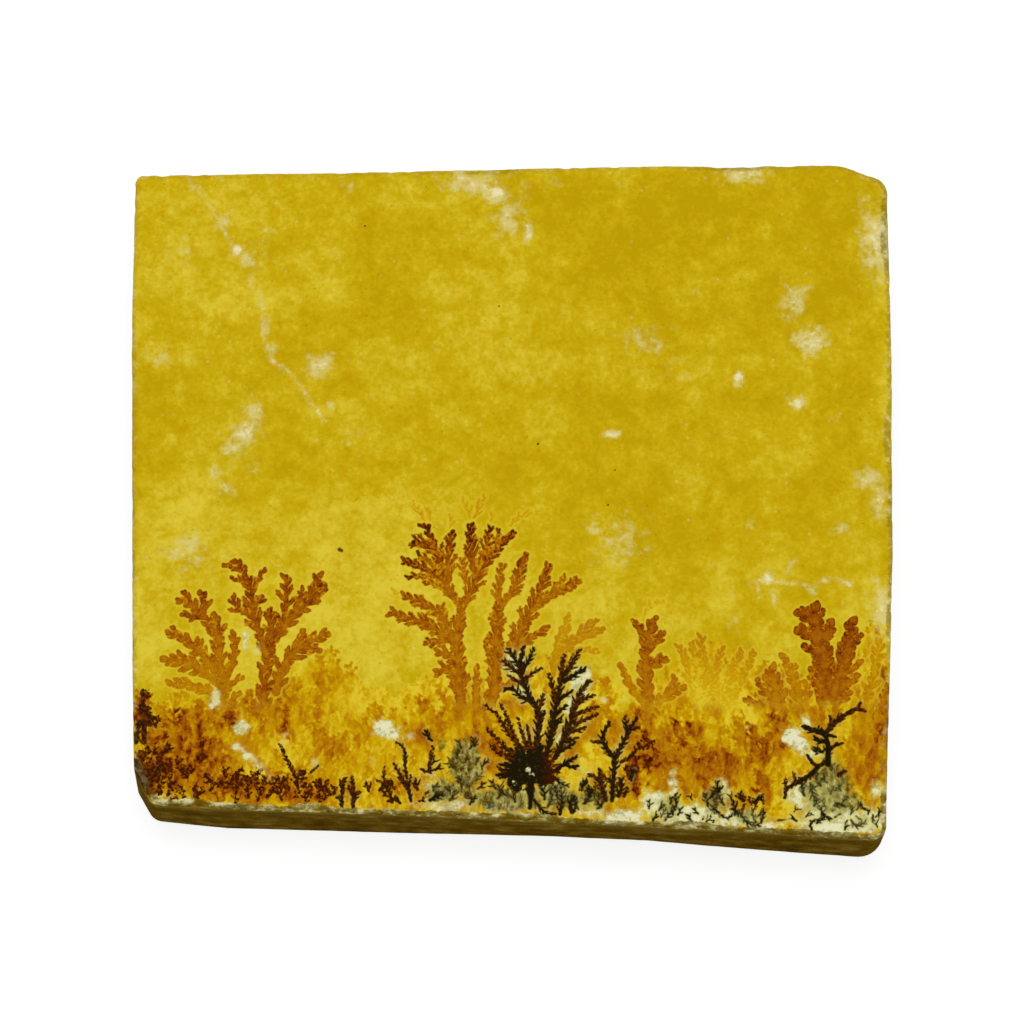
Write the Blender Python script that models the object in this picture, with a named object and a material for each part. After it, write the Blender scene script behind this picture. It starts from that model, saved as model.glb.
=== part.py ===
"""A sawn slab of dendritic limestone that lies flat on its back face.

The slab is one closed solid. Its wall runs from the outline of the back face up to
the outline of the drawn face, which the photo shows to be slightly smaller along the
near edge. The corners are rounded, and the near left one is broken away. Both arrises
are worn, the upper one unevenly, with chips along it.

Run with: blender --background --python part.py
"""
import math

import bmesh
import bpy
from mathutils import Vector, noise

MM = 0.001

# Driving dimensions in millimetres
THICKNESS = 9.0
POINT_SPACING = 1.7
WALL_LEVELS = 3

# Each corner of the plan, counterclockwise from the near left:
# face x, face y, back x, back y, radius on the face, radius on the back
CORNERS = [
    (-37.3, -32.20, -37.70, -32.70, 1.1, 1.6),
    (-30.0, -32.65, -30.00, -33.50, 0.0, 0.0),
    (-11.6, -33.30, -11.60, -34.00, 0.0, 0.0),
    (3.0, -34.00, 4.00, -34.35, 0.0, 0.0),
    (14.0, -34.55, 14.00, -34.80, 0.0, 0.0),
    (25.0, -35.10, 26.00, -35.80, 0.0, 0.0),
    (38.6, -35.95, 38.95, -36.75, 1.4, 2.7),
    (39.9, -6.00, 40.00, -6.00, 0.0, 0.0),
    (40.2, 14.00, 40.20, 14.00, 0.0, 0.0),
    (40.1, 34.90, 40.15, 34.90, 2.0, 2.2),
    (35.0, 36.75, 35.00, 36.80, 6.0, 6.0),
    (11.5, 36.60, 11.50, 36.65, 0.0, 0.0),
    (-14.0, 36.00, -14.00, 36.10, 0.0, 0.0),
    (-40.25, 35.60, -40.30, 35.65, 1.0, 1.2),
    (-40.3, 17.00, -40.35, 17.00, 0.0, 0.0),
    (-39.5, -20.00, -39.70, -20.00, 0.0, 0.0),
    (-39.25, -28.20, -39.50, -29.60, 1.8, 1.6),
]
ARC_POINTS = 5
# The middle of the plan's bounding box, which becomes the origin
PLAN_MIDDLE = (-0.07, 0.135)

# Wear of the upper arris: its usual width, how far that swings, and the swing's wavelength
ARRIS_WIDTH = 0.38
ARRIS_SWING = 0.22
ARRIS_WAVELENGTH = 4.5
ARRIS_MINIMUM = 0.15
BACK_ARRIS_WIDTH = 0.3

# Chips out of the upper arris: x, y, reach along the edge and width
CHIPS = [
    (-38.6, -30.6, 3.2, 0.55),
    (-33.0, -32.5, 1.8, 0.35),
    (-20.5, -33.0, 2.4, 0.40),
    (2.0, -33.9, 3.0, 0.30),
    (19.0, -34.8, 2.2, 0.35),
    (39.0, -27.0, 3.5, 0.35),
    (40.1, 7.0, 4.0, 0.45),
    (40.1, 29.0, 4.5, 0.40),
    (24.0, 36.6, 3.0, 0.25),
    (-40.3, 12.0, 3.0, 0.25),
]

# The face's rim is worn a little lower than its middle
RIM_DROP = 0.05
RIM_SCALE = 0.965

STONE_COLOUR = (0.533, 0.362, 0.010, 1.0)
STONE_ROUGHNESS = 0.6


def clear_scene():
    """Remove every object of the scene."""
    for item in list(bpy.data.objects):
        bpy.data.objects.remove(item, do_unlink=True)


def corner_points(before, corner, after, radius):
    """Return the points of one corner: itself, or an arc that touches both of its sides."""
    if radius == 0.0:
        return [corner]
    to_before = (before - corner).normalized()
    to_after = (after - corner).normalized()
    half_angle = to_before.angle(to_after) / 2
    centre = corner + (to_before + to_after).normalized() * radius / math.sin(half_angle)
    start = corner + to_before * radius / math.tan(half_angle) - centre
    sweep = math.pi - 2 * half_angle
    points = []
    for step in range(ARC_POINTS):
        turn = sweep * step / (ARC_POINTS - 1)
        turned = Vector((start.x * math.cos(turn) - start.y * math.sin(turn),
                         start.x * math.sin(turn) + start.y * math.cos(turn)))
        points.append(centre + turned)
    return points


def rounded_outline(first_column, radius_column):
    """Return the rounded corners of one face as lists of points, one list for each corner."""
    corners = [Vector(row[first_column:first_column + 2]) for row in CORNERS]
    radii = [row[radius_column] for row in CORNERS]
    count = len(corners)
    return [corner_points(corners[i - 1], corners[i], corners[(i + 1) % count], radii[i])
            for i in range(count)]


def matched_outlines():
    """Return the outlines of the face and the back, with as many points in each."""
    face_corners = rounded_outline(0, 4)
    back_corners = rounded_outline(2, 5)
    face_outline = []
    back_outline = []
    count = len(CORNERS)
    for i in range(count):
        face_outline += face_corners[i]
        back_outline += back_corners[i]
        face_start, face_end = face_corners[i][-1], face_corners[(i + 1) % count][0]
        back_start, back_end = back_corners[i][-1], back_corners[(i + 1) % count][0]
        pieces = max(1, round((face_end - face_start).length / POINT_SPACING))
        for step in range(1, pieces):
            face_outline.append(face_start.lerp(face_end, step / pieces))
            back_outline.append(back_start.lerp(back_end, step / pieces))
    return face_outline, back_outline


def inward_normals(outline):
    """Return the direction into the slab at each point of a counterclockwise outline."""
    count = len(outline)
    normals = []
    for i in range(count):
        along = (outline[(i + 1) % count] - outline[i - 1]).normalized()
        normals.append(Vector((-along.y, along.x)))
    return normals


def arris_width(point):
    """Return how wide the upper arris is worn at a point of the outline."""
    swing = noise.noise(Vector((point.x, point.y, 0.0)) / ARRIS_WAVELENGTH)
    width = max(ARRIS_MINIMUM, ARRIS_WIDTH + ARRIS_SWING * swing)
    for x, y, reach, depth in CHIPS:
        distance = (point - Vector((x, y))).length
        if distance < reach:
            width += depth * (1 - (distance / reach) ** 2)
    return width


def slab_rings():
    """Return the rings of points from the back face up over the wall to the face's rim."""
    face_outline, back_outline = matched_outlines()
    normals = inward_normals(face_outline)
    widths = [arris_width(point) for point in face_outline]

    def ring(heights, insets):
        """Return one ring at the given heights, set in from the wall by the given amounts."""
        points = []
        for face, back, normal, height, inset in zip(face_outline, back_outline, normals,
                                                     heights, insets):
            flat = back.lerp(face, height / THICKNESS) + normal * inset
            points.append(Vector((flat.x, flat.y, height)))
        return points

    count = len(face_outline)
    rings = [
        ring([0.0] * count, [BACK_ARRIS_WIDTH] * count),
        ring([BACK_ARRIS_WIDTH] * count, [0.0] * count),
    ]
    for level in range(1, WALL_LEVELS + 1):
        height = BACK_ARRIS_WIDTH + (THICKNESS - 1.6 - BACK_ARRIS_WIDTH) * level / WALL_LEVELS
        rings.append(ring([height] * count, [0.0] * count))
    rings.append(ring([THICKNESS - width for width in widths], [0.0] * count))
    rings.append(ring([THICKNESS - width * 0.3 - RIM_DROP for width in widths],
                      [width * 0.3 for width in widths]))
    rings.append(ring([THICKNESS - RIM_DROP] * count, widths))
    rings.append([Vector((p.x * RIM_SCALE, p.y * RIM_SCALE, THICKNESS)) for p in rings[-1]])
    return rings


def build_slab():
    """Build the slab as one closed mesh from its rings, closed by a flat back and face."""
    mesh = bpy.data.meshes.new("limestone_slab")
    shape = bmesh.new()
    middle = Vector((*PLAN_MIDDLE, 0.0))
    loops = [[shape.verts.new((point - middle) * MM) for point in ring] for ring in slab_rings()]
    count = len(loops[0])
    for lower, upper in zip(loops, loops[1:]):
        for i in range(count):
            shape.faces.new((lower[i - 1], lower[i], upper[i], upper[i - 1]))
    shape.faces.new(list(reversed(loops[0])))
    shape.faces.new(loops[-1])
    bmesh.ops.recalc_face_normals(shape, faces=shape.faces)
    shape.to_mesh(mesh)
    shape.free()
    slab = bpy.data.objects.new("limestone_slab", mesh)
    bpy.context.scene.collection.objects.link(slab)
    return slab


def stone_material():
    """Return the ochre limestone's material."""
    material = bpy.data.materials.new("ochre_limestone")
    material.use_nodes = True
    surface = material.node_tree.nodes["Principled BSDF"]
    surface.inputs["Base Color"].default_value = STONE_COLOUR
    surface.inputs["Roughness"].default_value = STONE_ROUGHNESS
    surface.inputs["Metallic"].default_value = 0.0
    return material


def main():
    """Build the slab and give it its material."""
    clear_scene()
    slab = build_slab()
    slab.data.materials.append(stone_material())


main()
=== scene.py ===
"""The looks of a dendritic limestone slab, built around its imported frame.

The slab lies flat on its back. Its outline, its worn arris and its chips are modelled. Its
drawing is what iron and manganese salts left in the stone, so it is flat colour with no
height. Each dendrite is grown by rule from a few stems, and every vertex of a fine mesh
keeps how far it is from the nearest twig. From that the material draws the twigs, their
tone and their halos.
"""
import logging
import math
import random
from dataclasses import dataclass, field
from enum import Enum
from typing import Any

import bpy
import numpy as np
from mathutils import Matrix, Vector, noise


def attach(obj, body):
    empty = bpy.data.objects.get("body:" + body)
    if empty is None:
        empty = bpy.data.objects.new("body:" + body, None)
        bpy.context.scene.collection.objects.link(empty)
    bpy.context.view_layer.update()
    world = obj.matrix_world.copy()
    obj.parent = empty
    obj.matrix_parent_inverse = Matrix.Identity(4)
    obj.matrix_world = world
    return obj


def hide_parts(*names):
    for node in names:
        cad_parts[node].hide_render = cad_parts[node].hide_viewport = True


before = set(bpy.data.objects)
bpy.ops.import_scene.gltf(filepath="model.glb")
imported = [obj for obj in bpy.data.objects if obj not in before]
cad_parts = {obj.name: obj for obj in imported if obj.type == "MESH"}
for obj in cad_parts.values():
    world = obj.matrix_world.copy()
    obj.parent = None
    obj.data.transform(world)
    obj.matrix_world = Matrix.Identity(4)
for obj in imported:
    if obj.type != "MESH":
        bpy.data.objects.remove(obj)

log = logging.getLogger("limestone")

MM = 0.001
THICKNESS = 9.0
SLAB_NODE = "limestone_slab"
BODY = "root"
BAKE_MAP = "OFBake"
# A distance beyond all that the material draws, in millimetres
FAR = 4.0

Point = tuple[float, float]
Colour = tuple[float, ...]


def smoothstep(value: np.ndarray, low: float, high: float) -> np.ndarray:
    """Return 0 below low, 1 above high and a smooth rise between them."""
    share = np.clip((value - low) / (high - low), 0.0, 1.0)
    return share * share * (3.0 - 2.0 * share)


def linear(red: float, green: float, blue: float) -> Colour:
    """Return a linear colour from the 0 to 255 values of a screen."""
    def channel(value: float) -> float:
        """Return one linear channel."""
        share = value / 255.0
        return share / 12.92 if share <= 0.04045 else ((share + 0.055) / 1.055) ** 2.4
    return channel(red), channel(green), channel(blue), 1.0


# The photograph's view


@dataclass(frozen=True)
class PhotoView:
    """Where the camera stands, and where a pixel of the photograph falls on the face.

    Lengths are in millimetres. The camera looks at a point of the face, from straight
    above it tilted towards the near edge.
    """
    target_x: float = 0.07
    target_y: float = -1.435
    distance: float = 450.0
    tilt_degrees: float = 12.5
    frame_pixels: float = 1024.0
    pixels_per_mm: float = 9.54
    sensor: float = 36.0
    nearest: float = 0.01

    @property
    def middle(self) -> float:
        """The middle column and row of the photograph, in pixels."""
        return self.frame_pixels / 2

    @property
    def tilt(self) -> float:
        """The camera's tilt away from straight down, in radians."""
        return math.radians(self.tilt_degrees)

    @property
    def focal_pixels(self) -> float:
        """The focal length in pixels."""
        return self.pixels_per_mm * self.distance

    def on_face(self, pixel: Point) -> Point:
        """Return where a pixel falls on the slab's face.

        Args:
            pixel: column and row in the photograph's 1024 pixel frame.

        Returns:
            The place on the face in millimetres, in the frame's own axes.
        """
        rise = (self.middle - pixel[1]) / self.focal_pixels
        away = rise * self.distance / (math.cos(self.tilt) - rise * math.sin(self.tilt))
        depth = self.distance + away * math.sin(self.tilt)
        aside = (pixel[0] - self.middle) * depth / self.focal_pixels
        return self.target_x + aside, self.target_y + away

    def length(self, pixels: float) -> float:
        """Return a length on the face from a length in pixels."""
        return pixels / self.pixels_per_mm

    def add_camera(self) -> None:
        """Add the camera and make it the scene's own."""
        lens = self.focal_pixels * self.sensor / self.frame_pixels
        place = (self.target_x * MM,
                 (self.target_y - self.distance * math.sin(self.tilt)) * MM,
                 (THICKNESS + self.distance * math.cos(self.tilt)) * MM)
        bpy.ops.object.camera_add(location=place, rotation=(self.tilt, 0.0, 0.0))
        camera = bpy.context.object
        camera.name = "photo_camera"
        camera.data.lens = lens
        camera.data.sensor_width = self.sensor
        camera.data.clip_start = self.nearest
        bpy.context.scene.camera = camera


VIEW = PhotoView()


# The slab's plan


@dataclass(frozen=True)
class SlabPlan:
    """The slab's two outlines and the wear of its arrises, in millimetres.

    Each corner is: face x, face y, back x, back y, radius on the face, radius on the back.
    They run counterclockwise from the near left.
    """
    corners: tuple[tuple[float, ...], ...] = (
        (-37.3, -32.20, -37.70, -32.70, 1.1, 1.6),
        (-30.0, -32.65, -30.00, -33.50, 0.0, 0.0),
        (-11.6, -33.30, -11.60, -34.00, 0.0, 0.0),
        (3.0, -34.00, 4.00, -34.35, 0.0, 0.0),
        (14.0, -34.55, 14.00, -34.80, 0.0, 0.0),
        (25.0, -35.10, 26.00, -35.80, 0.0, 0.0),
        (38.6, -35.95, 38.95, -36.75, 1.4, 2.7),
        (39.9, -6.00, 40.00, -6.00, 0.0, 0.0),
        (40.2, 14.00, 40.20, 14.00, 0.0, 0.0),
        (40.1, 34.90, 40.15, 34.90, 2.0, 2.2),
        (35.0, 36.75, 35.00, 36.80, 6.0, 6.0),
        (11.5, 36.60, 11.50, 36.65, 0.0, 0.0),
        (-14.0, 36.00, -14.00, 36.10, 0.0, 0.0),
        (-40.25, 35.60, -40.30, 35.65, 1.0, 1.2),
        (-40.3, 17.00, -40.35, 17.00, 0.0, 0.0),
        (-39.5, -20.00, -39.70, -20.00, 0.0, 0.0),
        (-39.25, -28.20, -39.50, -29.60, 1.8, 1.6),
    )
    middle: Point = (-0.07, 0.135)
    arc_points: int = 13
    spacing: float = 0.25
    corner_pull: float = 2.2
    arris_width: float = 0.38
    arris_swing: float = 0.22
    arris_wavelength: float = 4.5
    arris_minimum: float = 0.15
    back_arris: float = 0.3
    rim_drop: float = 0.05
    chips: tuple[tuple[float, ...], ...] = (
        (-38.6, -30.6, 3.2, 0.55),
        (-33.0, -32.5, 1.8, 0.35),
        (-20.5, -33.0, 2.4, 0.40),
        (2.0, -33.9, 3.0, 0.30),
        (19.0, -34.8, 2.2, 0.35),
        (39.0, -27.0, 3.5, 0.35),
        (40.1, 7.0, 4.0, 0.45),
        (40.1, 29.0, 4.5, 0.40),
        (24.0, 36.6, 3.0, 0.25),
        (-40.3, 12.0, 3.0, 0.25),
    )
    # The corners at which the face grid's own four corners lie
    turning_corners: tuple[int, ...] = (0, 6, 9, 13)

    def _corner(self, before: Vector, corner: Vector, after: Vector, radius: float) -> list[Vector]:
        """Return one corner's points: itself, or an arc that touches both of its sides."""
        if radius == 0.0:
            return [corner]
        to_before = (before - corner).normalized()
        to_after = (after - corner).normalized()
        half = to_before.angle(to_after) / 2
        centre = corner + (to_before + to_after).normalized() * radius / math.sin(half)
        start = corner + to_before * radius / math.tan(half) - centre
        points = []
        for step in range(self.arc_points):
            turn = (math.pi - 2 * half) * step / (self.arc_points - 1)
            points.append(centre + Vector((start.x * math.cos(turn) - start.y * math.sin(turn),
                                           start.x * math.sin(turn) + start.y * math.cos(turn))))
        return points

    def _rounded(self, column: int, radius_column: int) -> list[list[Vector]]:
        """Return the rounded corners of one face, one list of points for each."""
        places = [Vector(row[column:column + 2]) - Vector(self.middle) for row in self.corners]
        count = len(places)
        return [self._corner(places[i - 1], places[i], places[(i + 1) % count],
                             self.corners[i][radius_column]) for i in range(count)]

    def outlines(self) -> tuple[np.ndarray, np.ndarray, list[int]]:
        """Return both outlines with matched points.

        Returns:
            The face's outline, the back's outline and, for each turning corner, the
            number of the point in the middle of its arc.
        """
        face_arcs, back_arcs = self._rounded(0, 4), self._rounded(2, 5)
        face: list[Vector] = []
        back: list[Vector] = []
        turning = []
        count = len(self.corners)
        for i in range(count):
            if i in self.turning_corners:
                turning.append(len(face) + len(face_arcs[i]) // 2)
            face += face_arcs[i]
            back += back_arcs[i]
            face_ends = face_arcs[i][-1], face_arcs[(i + 1) % count][0]
            back_ends = back_arcs[i][-1], back_arcs[(i + 1) % count][0]
            pieces = max(1, round((face_ends[1] - face_ends[0]).length / self.spacing))
            for step in range(1, pieces):
                face.append(face_ends[0].lerp(face_ends[1], step / pieces))
                back.append(back_ends[0].lerp(back_ends[1], step / pieces))
        return np.array([tuple(p) for p in face]), np.array([tuple(p) for p in back]), turning

    def width_at(self, x: float, y: float) -> float:
        """Return how wide the upper arris is worn at a point of the outline."""
        place = Vector((x, y, 0.0)) + Vector((*self.middle, 0.0))
        width = self.arris_width + self.arris_swing * noise.noise(place / self.arris_wavelength)
        width = max(self.arris_minimum, width)
        for chip_x, chip_y, reach, depth in self.chips:
            distance = (place - Vector((chip_x, chip_y, 0.0))).length
            if distance < reach:
                width += depth * (1 - (distance / reach) ** 2)
        return width


@dataclass
class Stations:
    """The places around the slab where its face grid meets the wall, counterclockwise."""
    face: np.ndarray
    back: np.ndarray
    inward: np.ndarray
    width: np.ndarray
    columns: int
    rows: int

    @classmethod
    def around(cls, plan: SlabPlan, columns: int, rows: int) -> "Stations":
        """Spread the stations evenly along the four sides of a plan.

        Args:
            plan: the slab's plan.
            columns: cells of the face grid along X.
            rows: cells of the face grid along Y.

        Returns:
            The stations, starting at the near left corner.
        """
        face, back, turning = plan.outlines()
        start = turning[0]
        face, back = np.roll(face, -start, axis=0), np.roll(back, -start, axis=0)
        corners = [index - start for index in turning] + [len(face)]
        face_loop, back_loop = np.vstack([face, face[:1]]), np.vstack([back, back[:1]])
        steps = np.diff(face_loop, axis=0)
        lengths = np.linalg.norm(steps, axis=1) + np.linalg.norm(np.diff(back_loop, axis=0), axis=1)
        bends = np.abs(np.angle(np.roll(steps @ (1, 1j), -1) / (steps @ (1, 1j))))
        travelled = np.concatenate([[0.0], np.cumsum(lengths / 2 + plan.corner_pull * bends)])
        stops = []
        for side, cells in enumerate((columns, rows, columns, rows)):
            first, last = travelled[corners[side]], travelled[corners[side + 1]]
            stops += [first + (last - first) * i / cells for i in range(cells)]
        stops_array = np.array(stops)
        spread = [np.stack([np.interp(stops_array, travelled, loop[:, axis])
                            for axis in (0, 1)], axis=1) for loop in (face_loop, back_loop)]
        along = np.roll(spread[0], -1, axis=0) - np.roll(spread[0], 1, axis=0)
        along /= np.linalg.norm(along, axis=1)[:, None]
        inward = np.stack([-along[:, 1], along[:, 0]], axis=1)
        width = np.array([plan.width_at(x, y) for x, y in spread[0]])
        return cls(spread[0], spread[1], inward, width, columns, rows)

    @property
    def rim(self) -> np.ndarray:
        """The rim of the face, inside the worn arris."""
        return self.face + self.inward * self.width[:, None]

    def sides(self) -> tuple[np.ndarray, np.ndarray, np.ndarray, np.ndarray]:
        """Return the rim's near, right, far and left sides, each from left or near on."""
        rim = self.rim
        loop = np.vstack([rim, rim[:1]])
        a, b = self.columns, self.columns + self.rows
        c = b + self.columns
        return loop[:a + 1], loop[a:b + 1], loop[b:c + 1][::-1], loop[c:][::-1]


# How dendrites grow


@dataclass(frozen=True)
class Habit:
    """How one kind of dendrite branches. Lengths are in millimetres, angles in degrees."""
    spacing: float
    reach: float
    stem_radius: float
    end_radius: float
    twig_radius: float
    tip_radius: float
    angle: float
    buds: int
    bud_reach: float


class Growth(Enum):
    """The kinds of dendrite on the slab."""
    LOBED = Habit(1.06, 3.1, 0.50, 0.27, 0.335, 0.20, 48.0, 1, 0.18)
    FEATHERED = Habit(0.88, 3.3, 0.36, 0.18, 0.205, 0.11, 40.0, 1, 0.24)
    SPRIG = Habit(0.84, 2.2, 0.20, 0.12, 0.16, 0.09, 34.0, 1, 0.24)
    FERN = Habit(0.56, 1.95, 0.23, 0.13, 0.145, 0.06, 46.0, 0, 0.0)
    SHRUB = Habit(0.46, 1.00, 0.13, 0.08, 0.10, 0.05, 46.0, 0, 0.0)
    FROND = Habit(0.70, 1.30, 0.26, 0.17, 0.16, 0.12, 46.0, 1, 0.34)
    CRACK = Habit(1.0, 0.0, 0.12, 0.12, 0.1, 0.1, 40.0, 0, 0.0)


@dataclass(frozen=True)
class Stem:
    """One stem of a dendrite, read off the photograph.

    Args:
        pixels: points along the stem, from its foot to its tip.
        spread: how long its twigs are, as a share of the habit's reach.
        girth: how thick it and its twigs are, as a share of the habit's radii.
        tone: how dark it is at its foot and at its tip, from 0 to 1.
    """
    pixels: tuple[Point, ...]
    spread: float
    girth: float
    tone: Point


def stems(*rows: tuple[float, ...]) -> tuple[Stem, ...]:
    """Return stems from rows of numbers.

    Args:
        rows: for each stem its spread, its girth, its tone at the foot and at the tip, and
            then the column and the row of each of its pixels in turn.

    Returns:
        One stem for each row.
    """
    return tuple(Stem(tuple(zip(row[4::2], row[5::2])), row[0], row[1], (row[2], row[3]))
                 for row in rows)


@dataclass(frozen=True)
class Bush:
    """A group of stems that branch in one habit."""
    name: str
    growth: Growth
    seed: int
    stems: tuple[Stem, ...]


class TwigList:
    """Straight tapered twigs, each with a radius and a tone at both ends."""

    margin = 1.0
    stem_depth = 0.20
    stem_pull = 3.0
    seam_most = 1.0

    def __init__(self) -> None:
        """Start with no twigs."""
        self.rows: list[tuple[float, ...]] = []
        self.branches = 0

    def add(self, start: Vector, end: Vector, radii: Point, tones: Point, branch: int = -1) -> None:
        """Add one twig of a side branch, or of a stem if its branch is -1."""
        self.rows.append((start.x, start.y, end.x, end.y, *radii, *tones, branch))

    def join(self, other: "TwigList") -> None:
        """Take over all twigs of another list."""
        for row in other.rows:
            branch = row[8] + self.branches if row[8] >= 0 else -1
            self.rows.append((*row[:8], branch))
        self.branches += other.branches

    def distance(self, points: np.ndarray, blend: float = 0.03
                 ) -> tuple[np.ndarray, np.ndarray, np.ndarray]:
        """Return how far points are outside the nearest twig, that twig's tone, and the seam.

        Args:
            points: places on the face in millimetres, one row each.
            blend: how softly neighbouring twigs flow together.

        Returns:
            The distance, negative inside a twig; the tone; and how far points are from
            where two side branches meet.
        """
        order = np.argsort(points[:, 0], kind="stable")
        x, y = points[order, 0], points[order, 1]
        distance = np.full(len(x), FAR)
        tone = np.zeros(len(x))
        stem = np.full(len(x), FAR)
        first, second = np.full(len(x), FAR), np.full(len(x), FAR)
        owner = np.full(len(x), -1)
        for ax, ay, bx, by, ra, rb, ta, tb, branch in self.rows:
            reach = max(ra, rb) + self.margin
            low = np.searchsorted(x, min(ax, bx) - reach)
            high = np.searchsorted(x, max(ax, bx) + reach)
            near = y[low:high]
            inside = low + np.nonzero((near > min(ay, by) - reach)
                                      & (near < max(ay, by) + reach))[0]
            if not len(inside):
                continue
            dx, dy = bx - ax, by - ay
            px, py = x[inside] - ax, y[inside] - ay
            share = np.clip((px * dx + py * dy) / (dx * dx + dy * dy + 1e-12), 0.0, 1.0)
            here = np.hypot(px - share * dx, py - share * dy) - (ra + (rb - ra) * share)
            before = distance[inside]
            closer = here < before
            tone[inside] = np.where(closer, ta + (tb - ta) * share, tone[inside])
            mixing = np.clip(0.5 + 0.5 * (before - here) / blend, 0.0, 1.0)
            distance[inside] = before + (here - before) * mixing - blend * mixing * (1 - mixing)
            if branch < 0:
                stem[inside] = np.minimum(stem[inside], here)
                continue
            nearest, next_nearest, holder = first[inside], second[inside], owner[inside]
            same, closer = holder == branch, here < nearest
            second[inside] = np.where(same, next_nearest,
                                      np.where(closer, nearest, np.minimum(next_nearest, here)))
            first[inside] = np.minimum(nearest, here)
            owner[inside] = np.where(closer, branch, holder)
        seam = second - first + self.stem_pull * np.maximum(0.0, -self.stem_depth - stem)
        result = np.empty(len(x)), np.empty(len(x)), np.empty(len(x))
        result[0][order], result[1][order] = distance, tone
        result[2][order] = np.minimum(seam, self.seam_most)
        return result


class Grower:
    """Grows bushes into twigs by the rules of their habit."""

    step = 0.3
    bend_back = 9.0
    twig_pieces = 3
    swell = 0.28
    first_place = (0.25, 0.6)
    place_swing = (0.75, 1.25)
    reach_swing = (0.55, 1.2)
    angle_swing = (0.75, 1.25)
    bud_angle = (0.9, 1.3)
    bud_swing = (0.7, 1.2)
    bud_tip = 0.9
    reach_at_foot = 0.62
    reach_to_middle = 0.38
    bulge = 1.1
    taper = 0.3

    def __init__(self, seed: int) -> None:
        """Start a grower with its own seeded dice."""
        self.dice = random.Random(seed)
        self.twigs = TwigList()

    def route(self, places: list[Vector]) -> list[Vector]:
        """Return a smooth route through the given places, in short even steps."""
        ends = [places[0] * 2 - places[1]] + places + [places[-1] * 2 - places[-2]]
        route = []
        for a, b, c, d in zip(ends, ends[1:], ends[2:], ends[3:]):
            pieces = max(1, round((c - b).length / self.step))
            for i in range(pieces):
                t = i / pieces
                route.append(0.5 * (2 * b + (c - a) * t + (2 * a - 5 * b + 4 * c - d) * t * t
                                    + (3 * b - a - 3 * c + d) * t ** 3))
        route.append(places[-1])
        return route

    def bush(self, bush: Bush) -> None:
        """Grow every stem of a bush."""
        for stem in bush.stems:
            places = [Vector(VIEW.on_face(pixel)) for pixel in stem.pixels]
            self.stem(places, bush.growth.value, stem.spread, stem.girth, stem.tone)

    def stem(self, places: list[Vector], habit: Habit, spread: float, girth: float,
             tone: Point) -> None:
        """Grow one stem and the twigs on both of its sides.

        Args:
            places: the stem's route in millimetres.
            habit: how it branches.
            spread: how long its twigs are.
            girth: how thick it is.
            tone: how dark it is at its foot and its tip.
        """
        route = self.route(places)
        count = len(route) - 1
        for i in range(count):
            narrowing = habit.end_radius - habit.stem_radius
            radii = [girth * (habit.stem_radius + narrowing * j / count) for j in (i, i + 1)]
            tones = [tone[0] + (tone[1] - tone[0]) * j / count for j in (i, i + 1)]
            self.twigs.add(route[i], route[i + 1], (radii[0], radii[1]), (tones[0], tones[1]))
        if spread <= 0.0:
            return
        length = sum((b - a).length for a, b in zip(route, route[1:]))
        place = habit.spacing * self.dice.uniform(*self.first_place)
        side = self.dice.choice((-1, 1))
        while place < length:
            share = place / length
            at = share * count
            index = min(int(at), count - 1)
            start = route[index].lerp(route[index + 1], at - index)
            heading = (route[index + 1] - route[index]).normalized()
            envelope = self.reach_at_foot + self.reach_to_middle * math.sin(
                math.pi * min(1.0, share * self.bulge))
            envelope *= 1 - self.taper * share
            reach = habit.reach * spread * envelope * self.dice.uniform(*self.reach_swing)
            here = tone[0] + (tone[1] - tone[0]) * share
            self.twig(start, heading, side, reach, girth, habit, here)
            place += habit.spacing / 2 * self.dice.uniform(*self.place_swing)
            side = -side

    def twig(self, start: Vector, heading: Vector, side: int, reach: float, girth: float,
             habit: Habit, tone: float) -> None:
        """Grow one side twig, which bends back towards its stem's heading, and its buds."""
        branch = self.twigs.branches
        self.twigs.branches += 1
        angle = side * math.radians(habit.angle * self.dice.uniform(*self.angle_swing))
        direction = heading.copy()
        direction.rotate(_turn(angle))
        place = start.copy()
        first, last = habit.twig_radius * girth, habit.tip_radius * girth
        for piece in range(self.twig_pieces):
            ahead = place + direction * reach / self.twig_pieces
            shares = [(piece + end) / self.twig_pieces for end in (0, 1)]
            radii = [(first + (last - first) * share)
                     * (1.0 + self.swell * math.sin(math.pi * share)) for share in shares]
            self.twigs.add(place, ahead, (radii[0], radii[1]), (tone, tone), branch)
            if 2 - habit.buds <= piece < 2:
                for hand in (-1, 1):
                    bud = direction.copy()
                    bud_turn = habit.angle * self.dice.uniform(*self.bud_angle)
                    bud.rotate(_turn(hand * math.radians(bud_turn)))
                    bud_reach = reach * habit.bud_reach * self.dice.uniform(*self.bud_swing)
                    radii_here = ((first + last) / 2, last * self.bud_tip)
                    self.twigs.add(ahead, ahead + bud * bud_reach, radii_here, (tone, tone), branch)
            place = ahead
            direction.rotate(_turn(-side * math.radians(self.bend_back)))


def _turn(angle: float) -> Any:
    """Return a turn in the plane by an angle in radians."""
    return Matrix.Rotation(angle, 2)


# The drawing, read off the photograph

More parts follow.
